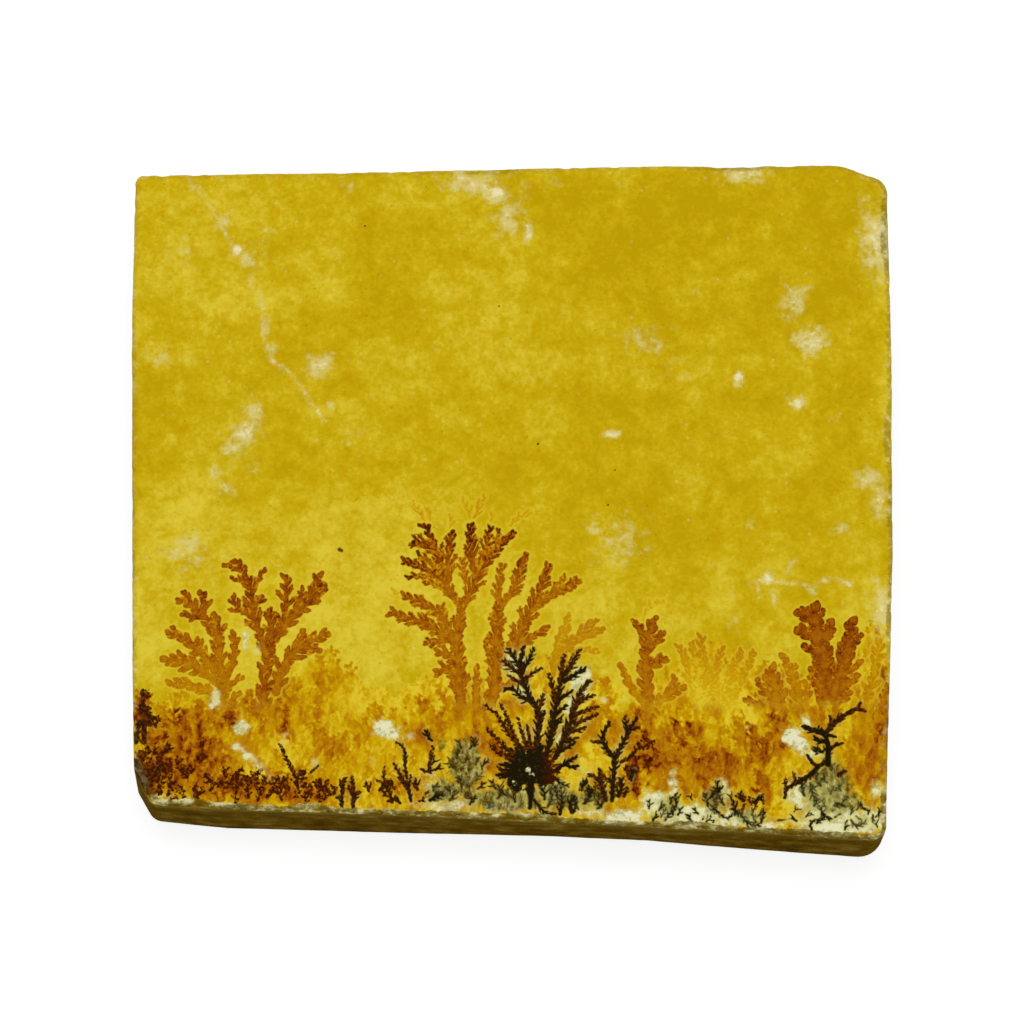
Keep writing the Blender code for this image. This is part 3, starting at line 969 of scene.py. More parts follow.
DEEP_GROUND = blots(
    (720, 250, 160, 90, 0.8), (640, 540, 90, 50, 0.5), (520, 430, 120, 60, 0.35),
    (150, 430, 30, 110, 0.35), (560, 205, 60, 40, 0.5), (760, 470, 90, 70, 0.45),
    (400, 230, 60, 40, 0.3), (330, 330, 50, 30, 0.3), (850, 400, 30, 60, 0.4),
)
BRUISES = blots(
    (319, 366, 15, 14, 1.1), (158, 356, 18, 11, 0.8), (175, 393, 9, 6, 0.55),
    (246, 432, 14, 13, 1.2), (255, 413, 10, 14, 1.0), (230, 449, 12, 9, 1.1), (214, 474, 8, 9, 1.0),
    (224, 486, 11, 8, 1.15), (245, 470, 16, 12, 0.6), (331, 404, 4, 6, 0.9), (352, 432, 8, 4, 0.8),
    (196, 187, 12, 8, 0.5), (222, 222, 8, 9, 0.8), (160, 352, 14, 6, 0.7), (190, 361, 16, 4, 0.5),
    (184, 552, 30, 18, 0.85), (266, 232, 9, 6, 0.8), (225, 220, 6, 6, 0.9), (237, 250, 5, 6, 1.5),
    (248, 256, 13, 13, 0.95), (250, 280, 7, 7, 0.7), (261, 300, 6, 10, 0.7),
    (266, 326, 6, 12, 0.75), (272, 352, 8, 9, 0.75), (340, 251, 9, 8, 0.55), (346, 186, 12, 8, 0.5),
    (344, 406, 3, 3, 1.3), (350, 441, 8, 8, 0.6), (459, 181, 12, 8, 0.55), (476, 184, 34, 16, 1.0),
    (496, 193, 11, 12, 1.5), (508, 214, 17, 22, 0.95), (528, 232, 6, 12, 1.3),
    (464, 178, 16, 9, 1.0), (540, 190, 30, 16, 0.45), (534, 378, 12, 8, 0.5),
    (494, 358, 9, 7, 0.45), (648, 340, 28, 18, 0.6), (640, 330, 11, 8, 0.6),
    (677, 368, 22, 14, 0.5), (742, 174, 34, 10, 1.0), (876, 240, 17, 44, 1.1),
    (868, 205, 14, 14, 0.7), (850, 207, 10, 10, 0.5), (794, 304, 15, 22, 0.95),
    (812, 340, 17, 15, 1.2), (738, 378, 6, 7, 1.7), (796, 402, 9, 5, 1.8), (834, 325, 8, 8, 0.5),
    (830, 418, 12, 6, 0.5), (868, 478, 16, 12, 0.95), (880, 496, 12, 22, 1.0),
    (840, 528, 7, 8, 1.0), (882, 606, 13, 28, 1.0), (612, 435, 8, 4, 1.5), (279, 564, 4, 5, 0.9),
    (592, 530, 5, 6, 1.0), (590, 560, 4, 5, 0.7), (618, 540, 30, 26, 0.65), (592, 528, 10, 12, 0.8),
    (604, 700, 5, 4, 1.2), (216, 698, 7, 10, 0.8), (210, 706, 6, 6, 0.7), (241, 727, 9, 10, 0.8),
    (238, 748, 6, 6, 0.9), (250, 758, 8, 5, 1.0), (264, 768, 7, 5, 0.8), (246, 640, 5, 13, 0.6),
    (257, 650, 7, 5, 0.9), (250, 676, 5, 20, 0.4), (768, 578, 6, 9, 1.25), (758, 592, 5, 9, 0.95),
    (773, 598, 3, 9, 1.15), (786, 583, 10, 3, 0.9), (805, 585, 6, 3, 0.9), (812, 593, 4, 5, 0.95),
    (826, 581, 8, 3, 0.95), (845, 582, 7, 3, 0.85), (728, 592, 7, 4, 0.9), (749, 522, 3, 8, 1.1),
    (768, 553, 12, 3, 0.9), (180, 250, 16, 26, 0.5), (736, 622, 8, 5, 0.95),
    (139, 640, 5, 60, 0.35), (886, 420, 6, 60, 0.4), (410, 735, 5, 4, 1.0),
    (760, 650, 22, 10, 0.35), (284, 742, 8, 5, 0.9), (284, 736, 7, 4, 0.9), (315, 762, 6, 6, 0.85),
    (288, 808, 30, 4, 0.6), (620, 185, 12, 8, 0.35), (700, 290, 30, 16, 0.3),
    (560, 300, 26, 14, 0.25),
)
CRACKS = stems(
    (0.0, 0.8, 0.35, 0.85, 189, 179, 198, 190, 206, 200, 222, 226, 235, 250, 254, 265, 251, 280,
     262, 303, 263, 328, 271, 358, 286, 370, 296, 381, 311, 402, 325, 420),
    (0.0, 0.9, 0.8, 0.7, 750, 583, 768, 580, 786, 582, 803, 585, 812, 588, 824, 580, 837, 579, 850,
     585),
    (0.0, 0.7, 0.5, 0.4, 787, 574, 790, 566, 795, 560),
    (0.0, 1.2, 0.7, 0.5, 241, 748, 252, 757, 262, 766, 270, 776),
)
# Column, row and reach of each dark speck, in pixels
DARK_SPECKS = (
    (365, 226, 1.1), (499, 306, 1.0), (538, 444, 1.4), (339.5, 549.5, 2.2),
    (341.5, 550.5, 1.9), (615, 470, 1.0), (608, 505, 1.1),
)
# Where the thicket's fronds begin, from left to right
THICKET_TOP = (
    (120, 688), (150, 700), (168, 694), (215, 690), (245, 702), (262, 690), (285, 668), (310, 655),
    (335, 652), (352, 668), (372, 690), (400, 700), (420, 684), (440, 676), (480, 668), (515, 668),
    (540, 660), (575, 660), (600, 676), (622, 700), (640, 684), (668, 672), (690, 652), (712, 644),
    (745, 652), (762, 670), (785, 672), (812, 690), (840, 668), (860, 640), (880, 626), (900, 622),
)


@dataclass(frozen=True)
class Sprinkle:
    """An area of the photograph in which small shrubs stand at random.

    Args:
        area: left, top, right and bottom, in photo pixels.
        count: how many shrubs.
        size: their least and greatest length, in millimetres.
        tone: their least and greatest tone, from black to maroon.
        lean: how far they lean at most, in degrees.
        girth: how thick they are.
    """
    area: tuple[float, float, float, float]
    count: int
    size: Point
    tone: Point = (0.1, 0.4)
    lean: float = 40.0
    girth: float = 1.0


SPRINKLES = (
    Sprinkle((137, 752, 166, 798), 12, (0.8, 1.7), (0.6, 1.0), 60.0, 1.8),
    Sprinkle((160, 766, 232, 800), 16, (0.6, 1.3), (0.8, 1.0), 60.0, 1.5),
    Sprinkle((232, 780, 335, 800), 24, (0.6, 1.3), (0.7, 1.0), 50.0, 1.5),
    Sprinkle((336, 782, 420, 803), 10, (0.6, 1.2), (0.4, 0.8), 40.0, 1.3),
    Sprinkle((425, 740, 485, 806), 22, (0.6, 1.3), (0.0, 0.3), 50.0, 1.0),
    Sprinkle((480, 786, 530, 808), 10, (0.6, 1.2), (0.0, 0.3), 50.0, 1.0),
    Sprinkle((536, 790, 604, 812), 16, (0.7, 1.6), (0.0, 0.3), 45.0, 1.1),
    Sprinkle((590, 780, 640, 806), 8, (0.6, 1.2), (0.2, 0.8), 45.0, 1.1),
    Sprinkle((646, 800, 700, 826), 9, (0.5, 1.1), (0.0, 0.1), 45.0, 1.0),
    Sprinkle((696, 792, 764, 824), 14, (0.5, 1.3), (0.0, 0.15), 50.0, 1.05),
    Sprinkle((792, 776, 850, 830), 20, (0.5, 1.3), (0.0, 0.15), 60.0, 0.95),
    Sprinkle((846, 804, 882, 830), 7, (0.5, 1.0), (0.0, 0.15), 60.0, 0.95),
    Sprinkle((815, 735, 842, 770), 8, (0.6, 1.1), (0.0, 0.3), 70.0, 1.1),
    Sprinkle((137, 694, 148, 745), 6, (0.6, 1.1), (0.5, 0.9), 50.0, 1.3),
)


@dataclass(frozen=True)
class Frond:
    """One small frond of the thicket: its twigs, its tone and whether it hides a bush."""
    twigs: np.ndarray
    tone: float
    height: float
    in_front: bool

    def distance(self, points: np.ndarray) -> np.ndarray:
        """Return how far points are outside the frond."""
        start, end = self.twigs[:, 0:2], self.twigs[:, 2:4]
        along = end - start
        away = points[:, None, :] - start[None, :, :]
        size = (along ** 2).sum(axis=1) + 1e-12
        share = np.clip((away * along).sum(axis=2) / size, 0.0, 1.0)
        gap = np.linalg.norm(away - share[:, :, None] * along, axis=2)
        return (gap - self.twigs[:, 4] - (self.twigs[:, 5] - self.twigs[:, 4]) * share).min(axis=1)


class Drawing:
    """Everything that is drawn on the slab's face, as distances and stains at points of it."""

    bush_seed, sprig_seed, fern_seed, crack_seed = 3, 4, 5, 6
    sprinkle_seed = 700
    sprinkle_spread = 0.8
    sprinkle_bow = 0.2
    sprinkle_girth = (0.75, 1.2)

    frond_count = 720
    frond_seed = 51
    frond_columns = (-40.0, 40.0)
    frond_lowest = -35.0
    frond_below_top = 0.8
    frond_above_top = 0.3
    frond_lean = 22.0
    frond_lengths = (1.4, 4.4)
    frond_bow = 0.14
    frond_spread = (0.7, 1.1)
    frond_girth = (0.75, 1.15)
    frond_heart = 0.6
    frond_margin = 0.4
    frond_edge = (-0.07, 0.05)
    frond_rim = (-0.22, -0.03)
    frond_rim_tone = 0.08
    frond_cover = 0.92
    frond_strength = 0.85
    fringe_width = 0.15
    fringe_tone = 0.11
    tone_swing = 0.13
    swing_limits = (-0.18, 0.12)
    tone_limits = (0.02, 1.04)
    gold_tone = 0.32
    yellow_pull = 0.45
    deepest_tone = 1.12
    thicket_fade = (0.2, 2.2)
    thicket_skirt = 0.3

    bush_feet = 716.0
    foot_rows = (722.0, 690.0)
    disc_middle = (531.0, 773.0)
    disc_reach = 20.5
    disc_hollow = (533.0, 808.0, 24.5)
    disc_shade_row = 770.0
    disc_shade_columns = (538.0, 554.0)
    disc_rays = 23
    ray_seed = 77
    ray_first, ray_span, ray_swing = -12.0, 204.0, 4.0
    ray_start = 15.0
    ray_ends = (24.0, 36.0)
    ray_spread = 0.22
    ray_girth = (0.8, 1.15)
    ray_tones = (0.05, 0.75)
    ray_maroon_from = 0.5
    disc_lights = ((528.0, 769.5, 2.5), (531.5, 775.0, 2.6), (514.0, 782.5, 2.7))
    disc_legs = ((512.5, 782.0, 6.0), (517.0, 787.0, 5.5), (550.0, 779.0, 5.5),
                 (530.5, 790.0, 4.6))
    speck_skirt = 1.5

    def __init__(self) -> None:
        """Grow all dendrites."""
        self.bushes = self._grown(BUSHES, self.bush_seed)
        self.sprigs = self._grown(GOLD_SPRIGS, self.sprig_seed)
        self.ferns = self._grown(FERNS + SHRUBS, self.fern_seed)
        for number, sprinkle in enumerate(SPRINKLES):
            self.ferns.join(self._sprinkled(sprinkle, number))
        self.ferns.join(self._rays())
        self.fronds = self._thicket()
        cracks = Grower(self.crack_seed)
        for crack in CRACKS:
            places = [Vector(VIEW.on_face(pixel)) for pixel in crack.pixels]
            cracks.stem(places, Growth.CRACK.value, crack.spread, crack.girth, crack.tone)
        self.cracks = cracks.twigs

    def _grown(self, bushes: tuple[Bush, ...], seed: int) -> TwigList:
        """Return the twigs of several bushes."""
        twigs = TwigList()
        for bush in bushes:
            grower = Grower(seed * 100 + bush.seed)
            grower.bush(bush)
            twigs.join(grower.twigs)
        return twigs

    def _rays(self) -> TwigList:
        """Return the short rays that stand out of the arched disc's upper half."""
        grower = Grower(self.ray_seed)
        for number in range(self.disc_rays):
            turn = math.radians(self.ray_first + self.ray_span * number / (self.disc_rays - 1)
                                + grower.dice.uniform(-self.ray_swing, self.ray_swing))
            reach = grower.dice.uniform(*self.ray_ends)
            ray = [Vector(VIEW.on_face((self.disc_middle[0] + math.cos(turn) * far,
                                        self.disc_middle[1] - math.sin(turn) * far)))
                   for far in (self.ray_start, (self.ray_start + reach) / 2, reach)]
            tone = self.ray_tones[math.cos(turn) > self.ray_maroon_from]
            grower.stem(ray, Growth.FERN.value, self.ray_spread,
                        grower.dice.uniform(*self.ray_girth), (tone, tone))
        return grower.twigs

    def _sprinkled(self, sprinkle: Sprinkle, number: int) -> TwigList:
        """Return the twigs of the small shrubs that stand in one area."""
        grower = Grower(self.sprinkle_seed + number)
        dice = grower.dice
        left, top, right, bottom = sprinkle.area
        for _ in range(sprinkle.count):
            foot = Vector(VIEW.on_face((dice.uniform(left, right), dice.uniform(top, bottom))))
            lean = math.radians(dice.uniform(-sprinkle.lean, sprinkle.lean))
            length = dice.uniform(*sprinkle.size)
            heading = Vector((math.sin(lean), math.cos(lean)))
            swing = dice.uniform(-self.sprinkle_bow, self.sprinkle_bow)
            bow = Vector((heading.y, -heading.x)) * swing * length
            tone = dice.uniform(*sprinkle.tone)
            girth = sprinkle.girth * dice.uniform(*self.sprinkle_girth)
            grower.stem([foot, foot + heading * length * 0.5 + bow, foot + heading * length],
                        Growth.SHRUB.value, self.sprinkle_spread, girth, (tone, tone))
        return grower.twigs

    def thicket_top(self, x: np.ndarray) -> np.ndarray:
        """Return how far up the face the thicket reaches at places along X."""
        tops = np.array([VIEW.on_face(pixel) for pixel in THICKET_TOP])
        return np.interp(x, tops[:, 0], tops[:, 1])

    def _thicket(self) -> list[Frond]:
        """Return the many small fronds that fill the thicket, the nearest last."""
        dice = random.Random(self.frond_seed)
        front = VIEW.on_face((VIEW.middle, self.bush_feet))[1]
        fronds = []
        for number in range(self.frond_count):
            x = dice.uniform(*self.frond_columns)
            top = float(self.thicket_top(np.array([x]))[0])
            foot = dice.uniform(self.frond_lowest, top - self.frond_below_top)
            lean = math.radians(dice.gauss(0.0, self.frond_lean))
            length = min(dice.uniform(*self.frond_lengths),
                         max(self.frond_below_top, top + self.frond_above_top - foot))
            heading = Vector((math.sin(lean), math.cos(lean)))
            start = Vector((x, foot))
            swing = dice.uniform(-self.frond_bow, self.frond_bow)
            bow = Vector((heading.y, -heading.x)) * swing * length
            grower = Grower(self.frond_seed * 1000 + number)
            spread, girth = dice.uniform(*self.frond_spread), dice.uniform(*self.frond_girth)
            grower.stem([start, start + heading * length * 0.5 + bow, start + heading * length],
                        Growth.FROND.value, spread, girth, (0.0, 0.0))
            base = float(self.base_tone(np.array([[x, foot + self.frond_heart * length]]))[0])
            swing = max(self.swing_limits[0],
                        min(self.swing_limits[1], dice.gauss(0.0, self.tone_swing)))
            tone = min(self.tone_limits[1], max(self.tone_limits[0], base + swing))
            twigs = np.array([row[:6] for row in grower.twigs.rows])
            fronds.append(Frond(twigs, tone, foot, foot + length < front))
        return sorted(fronds, key=lambda frond: -frond.height)

    def base_tone(self, points: np.ndarray) -> np.ndarray:
        """Return how dark the thicket is: 0 is yellow, 0.3 gold, 0.6 orange, 1 dark brown."""
        tone = np.maximum(self.gold_tone, stained(BROWN, points))
        tone -= self.yellow_pull * stained(YELLOW, points)
        return np.clip(tone, 0.0, self.deepest_tone)

    def _painted(self, points: np.ndarray) -> dict[str, np.ndarray]:
        """Return the thicket's tone, its cover and what of it hides the bushes' feet."""
        order = np.argsort(points[:, 0], kind="stable")
        places = points[order]
        x, y = places[:, 0], places[:, 1]
        tone = self.base_tone(places)
        cover = smoothstep(self.thicket_top(x) - y, *self.thicket_fade)
        front = np.zeros(len(places))
        for frond in self.fronds:
            ends = np.vstack([frond.twigs[:, 0:2], frond.twigs[:, 2:4]])
            least = ends.min(axis=0) - self.frond_margin
            most = ends.max(axis=0) + self.frond_margin
            low, high = np.searchsorted(x, least[0]), np.searchsorted(x, most[0])
            rows = low + np.nonzero((y[low:high] > least[1]) & (y[low:high] < most[1]))[0]
            if not len(rows):
                continue
            distance = frond.distance(places[rows])
            body = 1.0 - smoothstep(distance, *self.frond_edge)
            fringe = np.exp(-(distance / self.fringe_width) ** 2) * (1.0 - body)
            drawn = frond.tone + self.frond_rim_tone * smoothstep(distance, *self.frond_rim)
            change = (drawn - tone[rows]) * body * self.frond_strength
            tone[rows] += change - self.fringe_tone * fringe
            cover[rows] = np.maximum(cover[rows], body * self.frond_cover)
            if frond.in_front:
                front[rows] = np.maximum(front[rows], body)
        result = {}
        for name, values in (("thicket_tone", tone), ("thicket", cover), ("front", front)):
            result[name] = np.empty(len(points))
            result[name][order] = values
        return result

    def detail(self, points: np.ndarray) -> dict[str, np.ndarray]:
        """Return how far points are from each kind of drawn edge."""
        return {
            "fern": np.abs(self.ferns.distance(points)[0]),
            "bush": np.abs(self.bushes.distance(points)[0]),
            "sprig": np.abs(self.sprigs.distance(points)[0]),
            "crack": np.abs(self.cracks.distance(points)[0]),
            "thicket": np.maximum(0.0, points[:, 1] - self.thicket_top(points[:, 0])
                                  - self.thicket_skirt),
            "speck": self._from_specks(points),
        }

    def layers(self, points: np.ndarray) -> dict[str, np.ndarray]:
        """Return every value that the stone's material reads, at points of the face.

        Args:
            points: places in millimetres, one row each.

        Returns:
            One array for each attribute's name.
        """
        values: dict[str, np.ndarray] = self._painted(points)
        for name, twigs in (("bush", self.bushes), ("sprig", self.sprigs),
                            ("fern", self.ferns), ("crack", self.cracks)):
            values[name], values[name + "_tone"], values[name + "_seam"] = twigs.distance(points)
        values["cream"] = stained(CREAM, points, 1.3)
        values["cloud"] = stained(CLOUD, points, 1.3)
        values["bruise"] = stained(BRUISES, points, 1.0)
        values["pale_ground"] = stained(PALE_GROUND, points)
        values["deep_ground"] = stained(DEEP_GROUND, points)
        feet = [VIEW.on_face((VIEW.middle, row))[1] for row in self.foot_rows]
        values["foot"] = smoothstep(points[:, 1], *feet)
        values["disc"] = self._disc(points)
        sides = [VIEW.on_face((column, self.disc_shade_row))[0]
                 for column in self.disc_shade_columns]
        values["disc_tone"] = smoothstep(points[:, 0], *sides)
        values["speck"] = self._specks(points)
        return values

    def _spot(self, points: np.ndarray, spot: tuple[float, ...]) -> np.ndarray:
        """Return how far points are outside a round spot given by its pixel and its reach."""
        x, y = VIEW.on_face(spot[:2])
        return np.hypot(points[:, 0] - x, points[:, 1] - y) - VIEW.length(spot[2])

    def _disc(self, points: np.ndarray) -> np.ndarray:
        """Return how far points are outside the arched black disc under the great fern."""
        arch = self._spot(points, (*self.disc_middle, self.disc_reach))
        arch = np.maximum(arch, -self._spot(points, self.disc_hollow))
        for leg in self.disc_legs:
            arch = np.minimum(arch, self._spot(points, leg))
        for light in self.disc_lights:
            arch = np.maximum(arch, -self._spot(points, light))
        return arch

    def _specks(self, points: np.ndarray) -> np.ndarray:
        """Return how strongly the single dark specks darken points."""
        total = np.zeros(len(points))
        for x, y, reach in DARK_SPECKS:
            place = VIEW.on_face((x, y))
            away = np.hypot(points[:, 0] - place[0], points[:, 1] - place[1])
            total = np.maximum(total, np.exp(-(away / VIEW.length(reach)) ** 2))
        return total

    def _from_specks(self, points: np.ndarray) -> np.ndarray:
        """Return how far points are outside the dark specks."""
        return np.minimum.reduce([self._spot(points, (x, y, self.speck_skirt * reach)).clip(0.0)
                                  for x, y, reach in DARK_SPECKS])


# Node sheets


class Signal:
    """One number on its way through a material, which Python's operators act on."""

    def __init__(self, sheet: "Sheet", socket: Any) -> None:
        """Wrap a socket of a sheet."""
        self.sheet = sheet
        self.socket = socket

    def _maths(self, operation: str, first: Any, second: Any) -> "Signal":
        """Return the signal that one Math node makes of two values."""
        node = self.sheet.node("ShaderNodeMath", {"operation": operation}, {0: first, 1: second})
        return Signal(self.sheet, node.outputs[0])

    def __add__(self, other: Any) -> "Signal":
        """Add."""
        return self._maths("ADD", self, other)

    __radd__ = __add__

    def __sub__(self, other: Any) -> "Signal":
        """Subtract."""
        return self._maths("SUBTRACT", self, other)

    def __rsub__(self, other: Any) -> "Signal":
        """Subtract from a number."""
        return self._maths("SUBTRACT", other, self)

    def __mul__(self, other: Any) -> "Signal":
        """Multiply."""
        return self._maths("MULTIPLY", self, other)

    __rmul__ = __mul__

    def __truediv__(self, other: Any) -> "Signal":
        """Divide."""
        return self._maths("DIVIDE", self, other)

    def least(self, other: Any) -> "Signal":
        """Return the lesser of two values."""
        return self._maths("MINIMUM", self, other)

    def most(self, other: Any) -> "Signal":
        """Return the greater of two values."""
        return self._maths("MAXIMUM", self, other)

    def rise(self, low: float, high: float) -> "Signal":
        """Return a smooth rise from 0 at low to 1 at high; low may be the greater."""
        node = self.sheet.node("ShaderNodeMapRange", {"interpolation_type": "SMOOTHSTEP"},
                               {0: self, 1: low, 2: high, 3: 0.0, 4: 1.0})
        return Signal(self.sheet, node.outputs[0])


class Sheet:
    """A material's node tree, with short ways to add what the stone needs."""

    def __init__(self, name: str) -> None:
        """Start a material with its Principled surface."""
        self.material = bpy.data.materials.new(name)
        self.material.use_nodes = True
        self.tree = self.material.node_tree
        self.surface = self.tree.nodes["Principled BSDF"]
        texture = self.node("ShaderNodeTexCoord", {}, {})
        scaled = self.node("ShaderNodeVectorMath", {"operation": "SCALE"},
                           {0: texture.outputs["Object"], "Scale": 1.0 / MM})
        self.place = scaled.outputs[0]

    def node(self, kind: str, settings: dict[str, Any], inputs: dict[Any, Any]) -> Any:
        """Add a node.

        Args:
            kind: the node's type.
            settings: what is set on the node itself, before its sockets.
            inputs: socket names or numbers, with a value, a socket or a signal for each.

        Returns:
            The new node.
        """
        node = self.tree.nodes.new(kind)
        for name, value in settings.items():
            setattr(node, name, value)
        for name, value in inputs.items():
            self.feed(node.inputs[name], value)
        return node

    def feed(self, socket: Any, value: Any) -> None:
        """Link a socket to a signal or another socket, or set its value."""
        if isinstance(value, Signal):
            value = value.socket
        if isinstance(value, bpy.types.NodeSocket):
            self.tree.links.new(value, socket)
        else:
            socket.default_value = value

    def attribute(self, name: str) -> Signal:
        """Return one of the piece's own values."""
        node = self.node("ShaderNodeAttribute", {"attribute_name": name}, {})
        return Signal(self, node.outputs["Fac"])

    def noise(self, size: float, detail: float, stretch: tuple[float, ...] = (1, 1, 1),
              shift: float = 0.0, rough: float = 0.5) -> Signal:
        """Return noise between about 0 and 1, with features of a size in millimetres."""
        mapping = self.node("ShaderNodeMapping", {}, {
            "Vector": self.place, "Location": (shift, -shift, shift * 0.5), "Scale": stretch})
        node = self.node("ShaderNodeTexNoise", {"noise_dimensions": "3D"}, {
            "Vector": mapping.outputs[0], "Scale": 1.0 / size, "Detail": detail, "Roughness": rough})
        return Signal(self, node.outputs[0])

    def cells(self, size: float, shift: float = 0.0) -> tuple[Signal, Signal]:
        """Return the distance to the nearest of scattered points, and that point's own number."""
        mapping = self.node("ShaderNodeMapping", {}, {
            "Vector": self.place, "Location": (shift, shift, shift), "Scale": (1, 1, 1)})
        node = self.node("ShaderNodeTexVoronoi", {"feature": "F1"}, {
            "Vector": mapping.outputs[0], "Scale": 1.0 / size})
        split = self.node("ShaderNodeSeparateColor", {}, {"Color": node.outputs["Color"]})
        return Signal(self, node.outputs["Distance"]), Signal(self, split.outputs[0])

    def leaves(self, size: float, stretch: float, shift: float = 0.0,
               wobble: float = 0.5) -> Signal:
        """Return a number from 0 to 1 for each of many ragged cells, drawn out along Y."""
        waves = self.node("ShaderNodeTexNoise", {"noise_dimensions": "3D"}, {
            "Vector": self.place, "Scale": 2.4, "Detail": 2.0})
        bent = self.node("ShaderNodeVectorMath", {"operation": "MULTIPLY_ADD"}, {
            0: waves.outputs["Color"], 1: (wobble, wobble, wobble), 2: self.place})
        mapping = self.node("ShaderNodeMapping", {}, {
            "Vector": bent.outputs[0], "Location": (shift, shift, 0.0), "Scale": (1.0, stretch, 0.0)})
        node = self.node("ShaderNodeTexVoronoi", {"feature": "F1", "voronoi_dimensions": "2D"}, {
            "Vector": mapping.outputs[0], "Scale": 1.0 / size})
        split = self.node("ShaderNodeSeparateColor", {}, {"Color": node.outputs["Color"]})
        return Signal(self, split.outputs[0])

    def mix(self, share: Any, first: Any, second: Any) -> Any:
        """Return the colour between two colours."""
        node = self.node("ShaderNodeMix", {"data_type": "RGBA", "clamp_factor": True},
                         {0: share, 6: first, 7: second})
        return node.outputs[2]

    def ramp(self, value: Signal, stops: tuple[tuple[float, Colour], ...]) -> Any:
        """Return the colour that a value has between coloured stops."""
        node = self.node("ShaderNodeValToRGB", {}, {0: value})
        elements = node.color_ramp.elements
        while len(elements) < len(stops):
            elements.new(0.5)
        for element, (place, colour) in zip(elements, stops):
            element.position = place
            element.color = colour
        return node.outputs[0]


